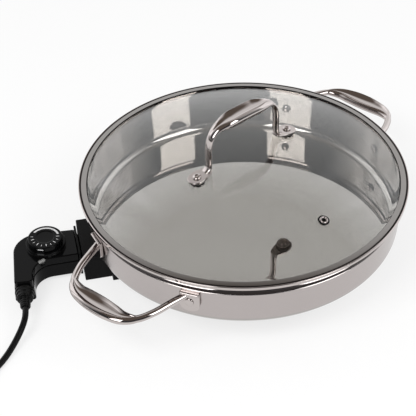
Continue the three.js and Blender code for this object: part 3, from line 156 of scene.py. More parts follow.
# Materials
MARKS_ACROSS, MARKS_ROUND = 900, 3
STEEL_GRAIN, STEEL_SMEARS, PLASTIC_PATCHES = 700, 26, 30
SMEAR_SHADE = 0.93
STEEL_DEPTH, PLASTIC_DEPTH = 0.00005, 0.0001


def textured(made, colors, patches, roughness, spread, grain, bump, depth):
    """The new material with its colour, roughness and normal varied by three patterns."""
    mat, tree, bsdf = made
    normal = node(tree, "Bump", {"Height": grain, "Strength": bump, "Distance": depth})
    for key, socket in (("Base Color", blend_colors(patches, *colors)),
                        ("Roughness", mapped(spread, 0.3, 0.7, *roughness)),
                        ("Normal", normal.outputs["Normal"])):
        tree.links.new(socket, bsdf.inputs[key])
    return mat


def steel_material(name, color, roughness, turned, bump):
    made = new_material(name, color, roughness[0], 1)
    tree = made[1]
    where = turned_coordinates(tree) if turned else object_coordinates(tree)
    fine = noise(where, 1 if turned else STEEL_GRAIN, 2)
    smears = noise(object_coordinates(tree), STEEL_SMEARS, 4, 0.6)
    spread = times(math_node("ADD", fine, smears), 0.5)
    dark = tuple(SMEAR_SHADE * c for c in color)
    return textured(made, (dark, color), smears, roughness, spread, fine, bump, STEEL_DEPTH)


def plastic_material(name, colors, roughness, grain, bump, specular=0.5):
    made = new_material(name, colors[0], roughness[0], Specular_IOR_Level=specular)
    fine, wide = (noise(object_coordinates(made[1]), scale) for scale in (grain, PLASTIC_PATCHES))
    return textured(made, colors, wide, roughness, wide, fine, bump, PLASTIC_DEPTH)


def greys(*shades):
    return [(shade,) * 3 for shade in shades]


steel_inside = steel_material("steel_inside", (0.40, 0.38, 0.365), (0.012, 0.028), True, 0.003)
steel_outside = steel_material("steel_outside", (0.48, 0.44, 0.43), (0.16, 0.26), True, 0.08)
steel_bright = steel_material("steel_bright", (0.53, 0.485, 0.47), (0.03, 0.08), False, 0.008)
steel_shaded = steel_material("steel_shaded", (0.32, 0.305, 0.295), (0.08, 0.16), True, 0.02)
# Dark steel that paints shade: a painted shade band on the pan's neck under the lip, a ring round
# each rivet's inner head and the rim's groove.
steel_painted_shade = steel_material("steel_painted_shade", (0.026, 0.021, 0.02), (0.2, 0.3), True, 0.02)
steel_satin = steel_material("steel_satin", (0.42, 0.40, 0.39), (0.25, 0.4), False, 0.1)
aluminium = steel_material("cast_aluminium", (0.5, 0.5, 0.49), (0.4, 0.6), False, 0.3)
brass = steel_material("brass", (0.60, 0.44, 0.20), (0.15, 0.3), False, 0.05)
MATT_BLACK = greys(0.003, 0.006)
SHINY_BLACK = ((0.002, 0.002, 0.0022), (0.0035, 0.0035, 0.0038))
guard_black = plastic_material("guard_black", MATT_BLACK, (0.42, 0.55), 900, 0.25, 0.08)
gloss_black = plastic_material("control_black", SHINY_BLACK, (0.08, 0.14), 1400, 0.02, 0.1)
dial_black = plastic_material("dial_black", SHINY_BLACK, (0.10, 0.16), 1400, 0.02, 0.1)
cord_black = plastic_material("cord_black", MATT_BLACK, (0.28, 0.4), 500, 0.15, 0.12)
silicone = plastic_material("silicone", greys(0.03, 0.045), (0.55, 0.7), 800, 0.2)
ceramic = plastic_material("ceramic", ((0.70, 0.67, 0.60), (0.80, 0.77, 0.70)),
                           (0.5, 0.7), 600, 0.2)
white_paint = plastic_material("dial_marks", greys(0.62, 0.72), (0.3, 0.4), 900, 0.05)
lens_white = plastic_material("lens_white", ((0.14, 0.14, 0.135), (0.18, 0.18, 0.175)),
                              (0.1, 0.2), 500, 0.02)
glass = new_material("lid_glass", (0.965, 0.975, 0.965), 0, Transmission_Weight=1, IOR=1.46)[0]

# Meshes
WELD = 0.000002
LEAST_BEND = radians(12)


def edited(mesh, change):
    """Runs change on the mesh and turns its faces outwards."""
    bm = bmesh.new()
    bm.from_mesh(mesh)
    change(bm)
    bmesh.ops.recalc_face_normals(bm, faces=bm.faces)
    bm.to_mesh(mesh)
    bm.free()


def mesh_piece(name, points, faces, material, sharp):
    """A smooth mesh with sharp edges above this angle. A tool for cutting needs no material."""
    mesh = bpy.data.meshes.new(name)
    mesh.from_pydata([[c * MM for c in p] for p in points], [], faces)
    mesh.update()
    edited(mesh, lambda bm: bmesh.ops.remove_doubles(bm, verts=bm.verts, dist=WELD))
    mesh.shade_smooth()
    mesh.set_sharp_from_angle(angle=radians(sharp))
    mesh.materials.append(material)
    return linked(name, mesh)


def painted(obj, materials, choose):
    """Adds the materials, and gives each face the slot that choose(radius, height) names."""
    for material in materials:
        obj.data.materials.append(material)
    for face in obj.data.polygons:
        x, y, z = face.center
        face.material_index = choose(hypot(x, y) / MM, z / MM)


def moved(obj, matrix):
    obj.data.transform(matrix)
    return obj


def turned_by(obj, angle, axis="Z"):
    return moved(obj, turn_matrix((angle, axis)))


def along_x(obj):
    return turned_by(obj, 90, "Y")


def along_y(obj):
    return turned_by(obj, -90, "X")


def shifted(obj, x, y, z=0):
    return moved(obj, Matrix.Translation((x * MM, y * MM, z * MM)))


def rounded(profile, radius, steps=3, closed=False):
    """The profile with each corner cut back by radius and rounded off."""
    out = []
    count = len(profile)
    for k, p in enumerate(profile):
        a, b, c = (Vector((*q, 0)) for q in (profile[k - 1], p, profile[(k + 1) % count]))
        la, lc = (a - b).length, (c - b).length
        at_end = not closed and k in (0, count - 1)
        if at_end or min(la, lc) < 1e-6 or (b - a).angle(c - b, 0) < LEAST_BEND:
            out.append(tuple(p))
            continue
        cut_back = min(radius, 0.45 * la, 0.45 * lc)
        start, end = b + (a - b) * (cut_back / la), b + (c - b) * (cut_back / lc)
        for s in range(steps + 1):
            t = s / steps
            q = start * (1 - t) ** 2 + b * (2 * t * (1 - t)) + end * t * t
            out.append((q.x, q.y))
    return out


def arc(cx, cy, radius, start, end, steps):
    angles = [radians(start + (end - start) * k / steps) for k in range(steps + 1)]
    return [(cx + radius * cos(a), cy + radius * sin(a)) for a in angles]


def rounded_rect(half_x, half_y, corner, steps=6):
    x, y = half_x - corner, half_y - corner
    return [p for k, (cx, cy) in enumerate(((x, y), (-x, y), (-x, -y), (x, -y)))
            for p in arc(cx, cy, corner, 90 * k, 90 * k + 90, steps)]


def lathe(name, profile, material=None, sides=40, closed=False):
    """A profile of (radius, height) turned about Z."""
    points, faces = [], []
    count = len(profile)
    for s in range(sides):
        a = TAU * s / sides
        points += [(max(r, 0) * cos(a), max(r, 0) * sin(a), z) for r, z in profile]
        here, there = s * count, (s + 1) % sides * count
        for k in range(count if closed else count - 1):
            after = (k + 1) % count
            faces.append((here + k, here + after, there + after, there + k))
    obj = mesh_piece(name, points, faces, material, 40)
    edited(obj.data, lambda bm: bmesh.ops.dissolve_degenerate(bm, edges=bm.edges, dist=WELD))
    return obj


def skin(name, rings, material, sharp):
    """Closed rings of points joined in order, with a flat cap at each end."""
    count = len(rings[0])
    points = [p for ring in rings for p in ring]
    faces = []
    for low in range(0, len(points) - count, count):
        for k in range(count):
            a, b = low + k, low + (k + 1) % count
            faces.append((a, b, b + count, a + count))
    faces.append(tuple(reversed(range(count))))
    faces.append(tuple(range(len(points) - count, len(points))))
    return mesh_piece(name, points, faces, material, sharp)


def stack(name, levels, material=None, sharp=40):
    """A skin over outlines, each at its own height."""
    return skin(name, [[(x, y, z) for x, y in outline] for z, outline in levels], material, sharp)


def prism(name, outline, low, high, material=None):
    return stack(name, [(low, outline), (high, outline)], material, 30)


def box(name, xs, half_y, zs, material=None, y=0):
    corners = [(xs[0], y - half_y), (xs[1], y - half_y), (xs[1], y + half_y), (xs[0], y + half_y)]
    return prism(name, corners, *zs, material)


def picked(*objects):
    """Selects just these objects, and makes the first one active."""
    for o in bpy.context.selected_objects:
        o.select_set(False)
    for o in objects:
        o.select_set(True)
    bpy.context.view_layer.objects.active = objects[0]


def applied(obj):
    picked(obj)
    for mod in list(obj.modifiers):
        bpy.ops.object.modifier_apply(modifier=mod.name)
    return obj


def bevelled(obj, width, segments=3):
    mod = obj.modifiers.new("edges", "BEVEL")
    mod.width, mod.segments = width * MM, segments
    mod.limit_method, mod.angle_limit = "ANGLE", radians(30)
    mod.harden_normals = True
    return applied(obj)


def merged(name, objects):
    """Several meshes as one object, with the first one's materials first."""
    picked(*objects)
    bpy.ops.object.join()
    objects[0].name = objects[0].data.name = name
    return objects[0]


def cut(obj, *tools, operation="DIFFERENCE"):
    """obj less the tools, or joined with them; the tools are used up."""
    for tool in tools:
        mod = obj.modifiers.new("combined", "BOOLEAN")
        mod.operation, mod.object, mod.solver = operation, tool, "EXACT"
        applied(obj)
        bpy.data.objects.remove(tool)
    return obj


def united(obj, *tools):
    return cut(obj, *tools, operation="UNION")


def dressed(obj, body, slot, *nodes):
    if obj.type == "MESH":
        obj.modifiers.new("normals", "WEIGHTED_NORMAL").keep_sharp = True
    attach(obj, body)
    if nodes:
        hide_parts(*nodes)
    return obj


# Curves and bars
CREST_SHARE, DISH_STEPS, FLANK_STEPS, BELLY_STEPS = 0.78, 18, 6, 20
CURVE_STEPS = 16


def smooth(share):
    t = min(1, max(0, share))
    return t * t * (3 - 2 * t)


def catmull(points, steps):
    """A smooth curve through the points, as centripetal splines do, sampled evenly by length."""
    pts = [Vector(p) for p in points]
    ends = [pts[0] * 2 - pts[1], *pts, pts[-1] * 2 - pts[-2]]
    dense = []
    for i in range(1, len(ends) - 2):
        p0, p1, p2, p3 = ends[i - 1:i + 3]
        d0, d1, d2 = ((q - p).length ** 0.5 for p, q in ((p0, p1), (p1, p2), (p2, p3)))
        t1 = ((p1 - p0) / d0 - (p2 - p0) / (d0 + d1) + (p2 - p1) / d1) * d1
        t2 = ((p2 - p1) / d1 - (p3 - p1) / (d1 + d2) + (p3 - p2) / d2) * d1
        for s in range(CURVE_STEPS):
            t = s / CURVE_STEPS
            dense.append(p1 + t1 * t + (3 * (p2 - p1) - 2 * t1 - t2) * t ** 2
                         + (2 * (p1 - p2) + t1 + t2) * t ** 3)
    dense.append(pts[-1])
    lengths = [0]
    for a, b in zip(dense, dense[1:]):
        lengths.append(lengths[-1] + (b - a).length)
    out, k = [], 0
    for s in range(steps + 1):
        want = lengths[-1] * s / steps
        while k < len(dense) - 2 and lengths[k + 1] < want:
            k += 1
        span = lengths[k + 1] - lengths[k] or 1
        out.append(dense[k].lerp(dense[k + 1], min(1, (want - lengths[k]) / span)))
    return out


def bar_ring(half_width, half_thick, share, dish):
    """Points round a bar: oval with share at 0, squarer and dished between two crests at 1."""
    power = 2 + 0.6 * share
    crest = max(0.1, CREST_SHARE * share ** 0.8)

    def top(w):
        return half_thick * max(0, 1 - abs(w) ** power) ** (1 / power)

    hollow = [crest * (1 - 2 * k / DISH_STEPS) for k in range(DISH_STEPS + 1)]
    flank = [crest + (1 - crest) * sin(pi / 2 * k / FLANK_STEPS) for k in range(1, FLANK_STEPS + 1)]
    belly = [pi * k / BELLY_STEPS for k in range(1, BELLY_STEPS)]
    ring = [(w, top(crest) - dish * share * (1 - (w / crest) ** 2)) for w in hollow]
    ring += [(-w, top(w)) for w in flank]
    ring += [(-cos(a), -half_thick * sin(a)) for a in belly]
    ring += [(w, top(w)) for w in reversed(flank)]
    return [(w * half_width, h) for w, h in ring]


def swept_bar(name, points, shape, leg, grip, dish, across):
    """A steel bar along the points. shape(point) is 0 for the leg's width and thickness and 1 for
    the grip's, with its dish; across(tangent) is the way its width runs."""
    rings = []
    for i, p in enumerate(points):
        share = shape(p)
        half_size = ((a + (b - a) * share) / 2 for a, b in zip(leg, grip))
        tangent = (points[min(i + 1, len(points) - 1)] - points[max(i - 1, 0)]).normalized()
        side = across(tangent).normalized()
        up = side.cross(tangent).normalized()
        rings.append([p + side * w + up * h for w, h in bar_ring(*half_size, share, dish)])
    return skin(name, rings, steel_bright, 50)


# The cord
CORD_DIAMETER, CORD_LENGTH = 7.6, 900
CORD_ROUTE = [(-282.6, 101.2, 20), (-285.3, 98, 20), (-288.3, 94.9, 19.9), (-292.6, 91, 19.2),
    (-297.8, 87.6, 17.6), (-304.1, 84.6, 15.1), (-311.3, 82, 12.1), (-319.3, 79.4, 9.2),
    (-327.8, 76.8, 6.8), (-336.7, 74.1, 5.2), (-346.1, 71.5, 4.4), (-356.1, 69.2, 4.2),
    (-366.3, 67.1, 4.3), (-376.7, 65, 4.6), (-387.1, 62.7, 4.9), (-397.1, 60.7, 5.1),
    (-407.1, 58.6, 5.1)]
ROUTE_STEPS = 64
COIL_GAP, COIL_TAIL, COIL_RADIUS, COIL_STEPS = 0.6, 64, 44, 24
PLUG_THICK = 15


def heading_of(points):
    """The level way in which the points end."""
    way = points[-1] - points[-2]
    way.z = 0
    return way.normalized()


def cord_points():
    """The cord's centreline, its coil's middle and winding, and the plug's heading and place."""
    pitch = CORD_DIAMETER + COIL_GAP
    free = catmull(CORD_ROUTE, ROUTE_STEPS)
    heading = heading_of(free)
    inward = Vector((heading.y, -heading.x, 0))
    stretch = sum((b - a).length for a, b in zip(free, free[1:])) + CORD_DIAMETER + COIL_TAIL
    turns = (CORD_LENGTH - stretch) / (TAU * COIL_RADIUS)
    begin = free[-1] + heading * CLEARANCE
    outer = COIL_RADIUS + pitch * turns / 4
    center = begin + heading * CORD_DIAMETER + inward * outer
    first = atan2(-inward.y, -inward.x)
    middle_radius = COIL_RADIUS - pitch * turns / 4

    def winding(made):
        radius = middle_radius + pitch * abs(made)
        angle = first - TAU * (made + turns / 2)
        climb = smooth(2 * made + 0.5) * pitch
        return center + Vector((radius * cos(angle), radius * sin(angle), climb))

    steps = round(turns * COIL_STEPS)
    wound = [winding((k / steps - 0.5) * turns) for k in range(steps + 1)]
    out = heading_of(wound)
    drop = PLUG_THICK / 2 - wound[-1].z
    tail = [wound[-1] + out * (COIL_TAIL * s) + Vector((0, 0, drop * smooth(s)))
            for s in (0.2, 0.4, 0.6, 0.8, 1)]
    end = tail[-1] + out * CORD_DIAMETER
    coil = catmull([begin, *wound, *tail, end], 2 * len(wound))
    return free + coil, center, winding, out, end


def cord_curve(points):
    data = bpy.data.curves.new("cord_run", "CURVE")
    data.dimensions = "3D"
    data.bevel_depth = CORD_DIAMETER / 2 * MM
    data.bevel_resolution = 5
    data.use_fill_caps = True
    line = data.splines.new("POLY")
    line.points.add(len(points) - 1)
    for place, p in zip(line.points, points):
        place.co = (*(c * MM for c in p), 1)
    data.materials.append(cord_black)
    return linked("cord_run", data)


cord_line, coil_center, winding_point, plug_out, plug_end = cord_points()
cord = dressed(cord_curve(cord_line), "control", "cord_vinyl", "cord", "cord_coil")

# Light and stage. A direction's turn is from straight behind the camera, its rise from level.
STUDIO_DARK = (0.05, 0.05, 0.055)
STUDIO_LINE = (0.015, 0.014, 0.013)
STUDIO_TOP = (0.155, 0.127, 0.108)
STUDIO_SIDES = (1.7, 1.7, 1.73)
WHITE = (1, 1, 1)
DARK_TURN, DARK_RISE = 88, (6, 14)
SIDE_TURNS, STRIPES = (98, 152), 0.11
TOP_RISE = (43, 56)
LINE_TURN, LINE_RISE = 100, (-1, 9)
SOFTBOX, SOFTBOX_HALF, SOFTBOX_RISE = (4.4, 4.4, 4.4), (15.6, 15), (20, 60)
SOFTBOX_TURNS = (-35.4, 54.5)
DIFFUSE_LIGHT, FLOOR_GLOW = 0.62, 0.72
FLOOR_HALF, FLOOR_LEVEL = 3, -0.0002
LIGHT_TARGET = Vector((0, 0, 0.05))


def band(value, low, high, soft):
    """1 between low and high, with edges this soft."""
    return times(mapped(value, low - soft, low + soft),
                 mapped(value, high - soft, high + soft, 1, 0))


def direct_rays(tree):
    """The light path's sockets, and 1 for a ray from the camera, a mirror or through glass."""
    rays = node(tree, "LightPath").outputs
    return rays, math_node("MAXIMUM", rays["Is Camera Ray"], math_node(
        "MAXIMUM", rays["Is Glossy Ray"], rays["Is Transmission Ray"]))


def make_world():
    """White to the camera. What is mirrored has a dark side, a dim top, stripes and softboxes."""
    world = bpy.data.worlds.new("studio")
    bpy.context.scene.world = world
    world.use_nodes = True
    tree = world.node_tree
    tree.nodes.clear()
    way = node(tree, "TexCoord").outputs["Generated"]
    facing = node(tree, "Mapping", {"Vector": way, "Rotation": (0, 0, radians(CAMERA_TURN))},
                  vector_type="VECTOR").outputs[0]
    x, y, z = node(tree, "SeparateXYZ", {"Vector": facing}).outputs
    turn = times(math_node("ARCTAN2", x, times(y, -1)), 180 / pi)
    rise = times(math_node("ARCSINE", z), 180 / pi)
    streaks = node(tree, "CombineXYZ", {"X": times(turn, STRIPES)}).outputs[0]
    sides = times(mapped(noise(streaks, 1, 1), 0.35, 0.6),
                  band(math_node("ABSOLUTE", turn), *SIDE_TURNS, 8))
    behind = times(band(turn, -DARK_TURN, DARK_TURN, 14), mapped(rise, *DARK_RISE))
    line = times(band(rise, *LINE_RISE, 1.5), band(turn, -LINE_TURN, LINE_TURN, 12))
    layers = [(sides, STUDIO_SIDES), (behind, STUDIO_DARK),
              (mapped(rise, *TOP_RISE), STUDIO_TOP), (line, STUDIO_LINE)]
    layers += [(times(band(turn, middle - half, middle + half, 0.7),
                      band(rise, *SOFTBOX_RISE, 1)), SOFTBOX)
               for middle, half in zip(SOFTBOX_TURNS, SOFTBOX_HALF)]
    color = WHITE
    for share, layer in layers:
        color = blend_colors(share, color, layer)
    rays, seen = direct_rays(tree)
    mirrored = math_node("GREATER_THAN", rays["Glossy Depth"], 0.5)
    plain = blend_colors(seen, (DIFFUSE_LIGHT,) * 3, WHITE)
    final = blend_colors(times(mirrored, seen), plain, color)
    shade = node(tree, "Background", {"Color": final, "Strength": 1})
    node(tree, "OutputWorld", {"Surface": shade.outputs[0]})


def make_floor():
    mesh = bpy.data.meshes.new("floor")
    mesh.from_pydata([(x * FLOOR_HALF, y * FLOOR_HALF, FLOOR_LEVEL)
                      for x, y in ((-1, -1), (1, -1), (1, 1), (-1, 1))], [], [(0, 1, 2, 3)])
    floor = linked("floor", mesh)
    mat, tree, bsdf = new_material("floor", (0.93, 0.93, 0.93), 0.9, Specular_IOR_Level=0)
    glow = node(tree, "Emission", {"Color": (1, 1, 1, 1), "Strength": 1})
    share = times(direct_rays(tree)[1], FLOOR_GLOW)
    mix = node(tree, "MixShader", {0: share, 1: bsdf.outputs[0], 2: glow.outputs[0]})
    tree.links.new(mix.outputs[0], tree.nodes["Material Output"].inputs["Surface"])
    mesh.materials.append(mat)


def area_light(name, place, size, power):
    data = bpy.data.lights.new(name, "AREA")
    data.shape = "RECTANGLE"
    data.size = data.size_y = size
    data.energy = power
    lamp = linked(name, data)
    lamp.location = place
    lamp.rotation_euler = (LIGHT_TARGET - Vector(place)).to_track_quat("-Z", "Y").to_euler()
    lamp.visible_glossy = lamp.visible_transmission = lamp.visible_camera = False


make_world()
make_floor()
area_light("key", (-1.6, 0.1, 1.9), 1.2, 26)
area_light("fill", (0.6, -1.7, 1.6), 1.4, 16)
bpy.context.scene.view_settings.view_transform = "Standard"

# The pan
PAN_BASE, FLOOR_Z, LIP_TOP, LIP_ROOT = 31, 34.2, 93.5, 90
BASE_R, MOUTH_R, SHEET = 194, 197, 1.2
CORNER, INNER_CORNER = 15, 10
LIP_REACH, LIP_ROLL, NECK_LOW, NECK_TOP = 4, 3.4, 82.4, 90.4
PAN_SIDES = 240


def pan_wall_radius(z):
    foot = PAN_BASE + CORNER
    return BASE_R + (MOUTH_R - BASE_R) * (z - foot) / (LIP_ROOT - foot)


def make_pan():
    inner_mouth, inner_base = MOUTH_R - SHEET, BASE_R - SHEET
    roll_r, roll_z = MOUTH_R + LIP_REACH - LIP_ROLL, LIP_TOP - LIP_ROLL
    neck_r = pan_wall_radius(NECK_LOW)
    step = LIP_ROOT - 7
    step_r = pan_wall_radius(step) - SHEET
    pan = lathe("pan_shell", [
        (0, PAN_BASE), (BASE_R - CORNER - 10, PAN_BASE),
        *arc(BASE_R - CORNER, PAN_BASE + CORNER, CORNER, -90, 0, 14),
        (pan_wall_radius(NECK_LOW - 1.5), NECK_LOW - 1.5), (neck_r, NECK_LOW - 0.3),
        (neck_r - 0.5, NECK_LOW + 0.3), (MOUTH_R - 0.5, NECK_TOP),
        *arc(roll_r, roll_z, LIP_ROLL, 24, 90, 8), (inner_mouth + 1, LIP_TOP),
        *arc(inner_mouth + 1, LIP_TOP - 1.2, 1.2, 90, 180, 4)[1:],
        (step_r, step), (step_r - 0.35, step - 0.6),
        *arc(inner_base - INNER_CORNER, FLOOR_Z + INNER_CORNER, INNER_CORNER, 0, -90, 14),
        (inner_base - INNER_CORNER - 1.5, FLOOR_Z), (0, FLOOR_Z)], steel_outside, PAN_SIDES)

    # Slot 0 is the satin outside, 1 the polished inside and 2 the bright lip roll; slot 3 paints
    # shade, a dark band on the neck under the lip.
    def look(r, z):
        if z > PAN_BASE + 1 and r < pan_wall_radius(max(z, PAN_BASE + CORNER)) - 0.6:
            return 3 if NECK_LOW < z < roll_z and r > MOUTH_R - SHEET / 2 else 1
        return 2 if z > roll_z else 3 if z > NECK_LOW else 0

    painted(pan, (steel_inside, steel_bright, steel_painted_shade), look)
    dressed(pan, "root", "polished_steel", "pan_body")


# The side handles. A bar's size is its width and thickness.
HANDLE_REACH, HANDLE_HALF_TURN = 270, 21.8
RIVET_Z, HANDLE_TOP_Z, GRIP_Z = 66, 74, 69
LEG_SIZE, GRIP_SIZE, GRIP_DISH = (9, 8), (26, 14), 3.6
GRIP_SHARE = 0.66
PLATE_WIDTH, PLATE_HEIGHT, PLATE_THICK = 24, 27, 3.5
BROW_HALF, BROW_REACH = 2.1, 1.8
HALF_HANDLE = [(0.02, 0.93, 0), (0.28, 0.87, 0.15), (0.6, 0.79, 0.5), (0.85, 0.66, 0.85),
               (0.965, 0.47, 1), (0.995, 0.24, 1), (1, 0, 1)]
PLATE_IN = pan_wall_radius(RIVET_Z + PLATE_HEIGHT / 2) + CLEARANCE
PLATE_OUT = PLATE_IN + PLATE_THICK
RIVET_R, RIVET_HEAD_R, INNER_HEAD_R, RIVET_HEAD = 2.5, 5.2, 5.7, 3.6


def handle_plate(turn):
    """A foot plate with round lower corners and a brow, bent round the pan's wall."""
    half_w, half_h = PLATE_WIDTH / 2, PLATE_HEIGHT / 2
    bulge = half_w * 0.9
    outline = [(half_w, half_h), (-half_w, half_h), (-half_w, bulge - half_h)]
    corner = ((-half_w, bulge - half_h), (-half_w, -half_h), (0, -half_h))
    for s in range(1, 9):
        t = s / 8
        outline.append(tuple((1 - t) ** 2 * a + 2 * t * (1 - t) * b + t * t * c
                             for a, b, c in zip(*corner)))
    outline += [(-x, z) for x, z in reversed(outline[2:-1])]
    outline = rounded(outline, 1.5, 3, closed=True)
    plate = prism("plate", outline, PLATE_IN, PLATE_OUT, steel_bright)
    brow = box("brow", (1 - half_w, half_w - 1), BROW_HALF, (PLATE_OUT - 1, PLATE_OUT + BROW_REACH),
               steel_bright, half_h - BROW_HALF)
    for part in (plate, brow):
        for v in part.data.vertices:
            across, up, out = v.co
            a = across / (PLATE_IN * MM) + radians(turn)
            v.co = (out * cos(a), out * sin(a), RIVET_Z * MM + up)
    return bevelled(plate, 0.7), bevelled(brow, 1.2, 4)


def make_side_handle(name, node_name, turn):
    half_turn = radians(HANDLE_HALF_TURN)
    half_chord = PLATE_OUT * sin(half_turn)
    start_u = PLATE_OUT * cos(half_turn) - PLATE_THICK / 2
    grip_u = HANDLE_REACH - GRIP_SIZE[0] / 2
    half = [(start_u + (grip_u - start_u) * out, half_chord * wide,
             HANDLE_TOP_Z + (GRIP_Z - HANDLE_TOP_Z) * drop) for out, wide, drop in HALF_HANDLE]
    points = catmull(half + [(x, -y, z) for x, y, z in reversed(half[:-1])], 150)
    flare = half_chord * GRIP_SHARE
    bar = swept_bar(name, points, lambda p: max(0, 1 - (p.y / flare) ** 2) ** 0.8, LEG_SIZE,
                    GRIP_SIZE, GRIP_DISH, lambda tangent: tangent.cross(Vector((0, 0, 1))))
    handle = merged(name, [bar, *handle_plate(HANDLE_HALF_TURN), *handle_plate(-HANDLE_HALF_TURN)])
    dressed(turned_by(handle, turn), "root", "polished_steel", node_name)


def make_rivet(number, turn):
    inside = pan_wall_radius(RIVET_Z) - SHEET - 0.25
    outside = PLATE_OUT + 0.1
    inner_edge, outer_edge = inside - 0.3, outside + 0.3
    inner_arc, outer_arc = ([radians(a) for a in turns]
                            for turns in (range(8, 89, 8), range(0, 91, 18)))
    rivet = lathe(f"rivet_{number}", [(0, inside - RIVET_HEAD),
        *((INNER_HEAD_R * sin(a), inner_edge - (RIVET_HEAD - 0.3) * cos(a)) for a in inner_arc),
        (INNER_HEAD_R, inner_edge), (INNER_HEAD_R, inside), (RIVET_R, inside), (RIVET_R, outside),
        (RIVET_HEAD_R, outside),
        *((RIVET_HEAD_R * cos(a), outer_edge + 1.4 * sin(a)) for a in outer_arc)], steel_bright)
    # The outer band of the inner head gets dark steel, a painted shade ring round the rivet.
    painted(rivet, (steel_painted_shade,), lambda r, z: int(r > INNER_HEAD_R * 0.9 and z < inside + 1))
    shifted(along_x(rivet), 0, 0, RIVET_Z)
    dressed(turned_by(rivet, turn), "root", "polished_steel", f"handle_rivet_{number}")


make_pan()
make_side_handle("far_handle", "side_handle_far", 0)
make_side_handle("near_handle", "side_handle_near", 180)
for number, rivet_turn in enumerate(
        (middle + side * HANDLE_HALF_TURN for middle in (0, 180) for side in SIDES), 1):
    make_rivet(number, rivet_turn)

# The lid
RIM_BOTTOM, RIM_TOP, RIM_R = 93.8, 100, 203
RIM_WALL, RIM_COVER, RIM_SHEET, RIM_ROLL, RIM_SEAM = 2.4, 10.5, 0.8, 0.9, 3.5
SKIRT_DROP, SKIRT_GAP = 5.8, 0.9
GLASS_THICK, DOME_RISE, DOME_R, GLASS_R = 4, 35, 191, 200.3
GLASS_BOTTOM, GLASS_EDGE, GLASS_STEPS = 94.9, 98.9, 40
DOME_SAG = DOME_RISE / 14 ** 2
UNDER_GLASS = -GLASS_THICK - DOME_SAG - CLEARANCE
VENT_PLACE, VENT_TURN, VENT_R, VENT_TUBE_R = 141, 260.9, 7, 2.9


def dome_z(r):
    return GLASS_EDGE + DOME_RISE * (1 - (r / DOME_R) ** 2)


def on_dome(obj, r, turn):
    """Puts a mesh made round its own Z axis square onto the glass."""
    tilt = degrees(atan(2 * DOME_RISE * r / DOME_R ** 2))
    return turned_by(shifted(turned_by(obj, tilt, "Y"), r, 0, dome_z(r)), turn)


def make_lid_glass():
    outer = [(r, dome_z(r)) for r in (DOME_R * k / GLASS_STEPS for k in range(GLASS_STEPS + 1))]
    inner = [(r, z - GLASS_THICK) for r, z in reversed(outer)]
    edge = [(GLASS_R - 1, GLASS_EDGE - 2.4), (GLASS_R - 1, GLASS_BOTTOM)]
    dressed(lathe("glass_dome", outer + edge + inner, glass, PAN_SIDES),
            "lid", "lid_glass", "lid_glass")


def make_rim():
    """The top slopes out to a seam, rolls over a round edge and drops in an upright band."""
    skirt_out = MOUTH_R - SHEET - SKIRT_GAP
    skirt_in, skirt_low = skirt_out - RIM_SHEET, RIM_BOTTOM - SKIRT_DROP
    cavity, shelf = RIM_R - RIM_WALL, RIM_BOTTOM + RIM_SHEET
    inner_r, seam, groove = RIM_R - RIM_COVER, RIM_R - RIM_SEAM, RIM_TOP - 0.85
    roll_r, band_low = RIM_R - RIM_ROLL, RIM_TOP - 3.7
    rim = lathe("glass_rim", [
        (inner_r, RIM_TOP - 1.6), (inner_r + 0.1, RIM_TOP - 0.2), (inner_r + 0.6, RIM_TOP + 0.2),
        (inner_r + 3, RIM_TOP + 0.05), (seam, RIM_TOP - 0.35),
        (seam + 0.3, groove), (roll_r - 0.2, groove),
        *arc(roll_r, RIM_TOP - 0.3 - RIM_ROLL, RIM_ROLL, 100, 0, 8),
        (RIM_R, band_low), *arc(RIM_R - 0.8, band_low, 0.8, -30, -90, 3),
        (RIM_R - 2.6, RIM_BOTTOM + 0.4), (skirt_out + 0.5, RIM_BOTTOM),
        (skirt_out, RIM_BOTTOM - 0.5), (skirt_out, skirt_low), (skirt_in, skirt_low),
        (skirt_in, shelf), (cavity, shelf), (cavity, GLASS_EDGE - 2.2),
        (inner_r + 0.9, RIM_TOP - 0.3)], steel_bright, PAN_SIDES, closed=True)

    # Slot 2 is the black seam at the glass's edge; slot 1 paints shade in the groove before the
    # roll; slot 3 paints shade on the flange with darker steel.
    def look(r, z):
        if z > RIM_TOP - 2 and r < inner_r + 0.9:
            return 2
        if z > RIM_TOP - 0.9 and seam < r < roll_r - 0.1:
            return 1
        return 3 if z > RIM_TOP - 0.6 and r < seam else 0

    painted(rim, (steel_painted_shade, guard_black, steel_shaded), look)
    dressed(rim, "lid", "polished_steel", "lid_rim")


def make_vent():
    """A bright ring on a black outer band, with a tube through the glass; the hole's wall is
    painted black, a painted shade.
    """
    top, bottom = CLEARANCE, UNDER_GLASS
    outer_band_z, ring_z = top + 0.5, top + 0.8
    vent = lathe("vent_ring", rounded([
        (2, outer_band_z), (VENT_TUBE_R, ring_z), *arc(4.05, ring_z, 1.1, 165, 0, 10),
        (5.6, outer_band_z), (VENT_R, outer_band_z), (VENT_R, top), (VENT_TUBE_R, top), (VENT_TUBE_R, bottom),
        (5.2, bottom), (4.1, bottom - 1.1), (2, bottom - 1.1)],
        0.2, 2, closed=True), steel_bright, 64, closed=True)
    # Faces inside r 2.75 are painted shade in the hole; faces outside r 5.2 are the black outer
    # band.
    painted(vent, (guard_black,), lambda r, z: int(r < 2.75 or r > 5.2))
    dressed(on_dome(vent, VENT_PLACE, VENT_TURN), "lid", "polished_steel", "vent_grommet")


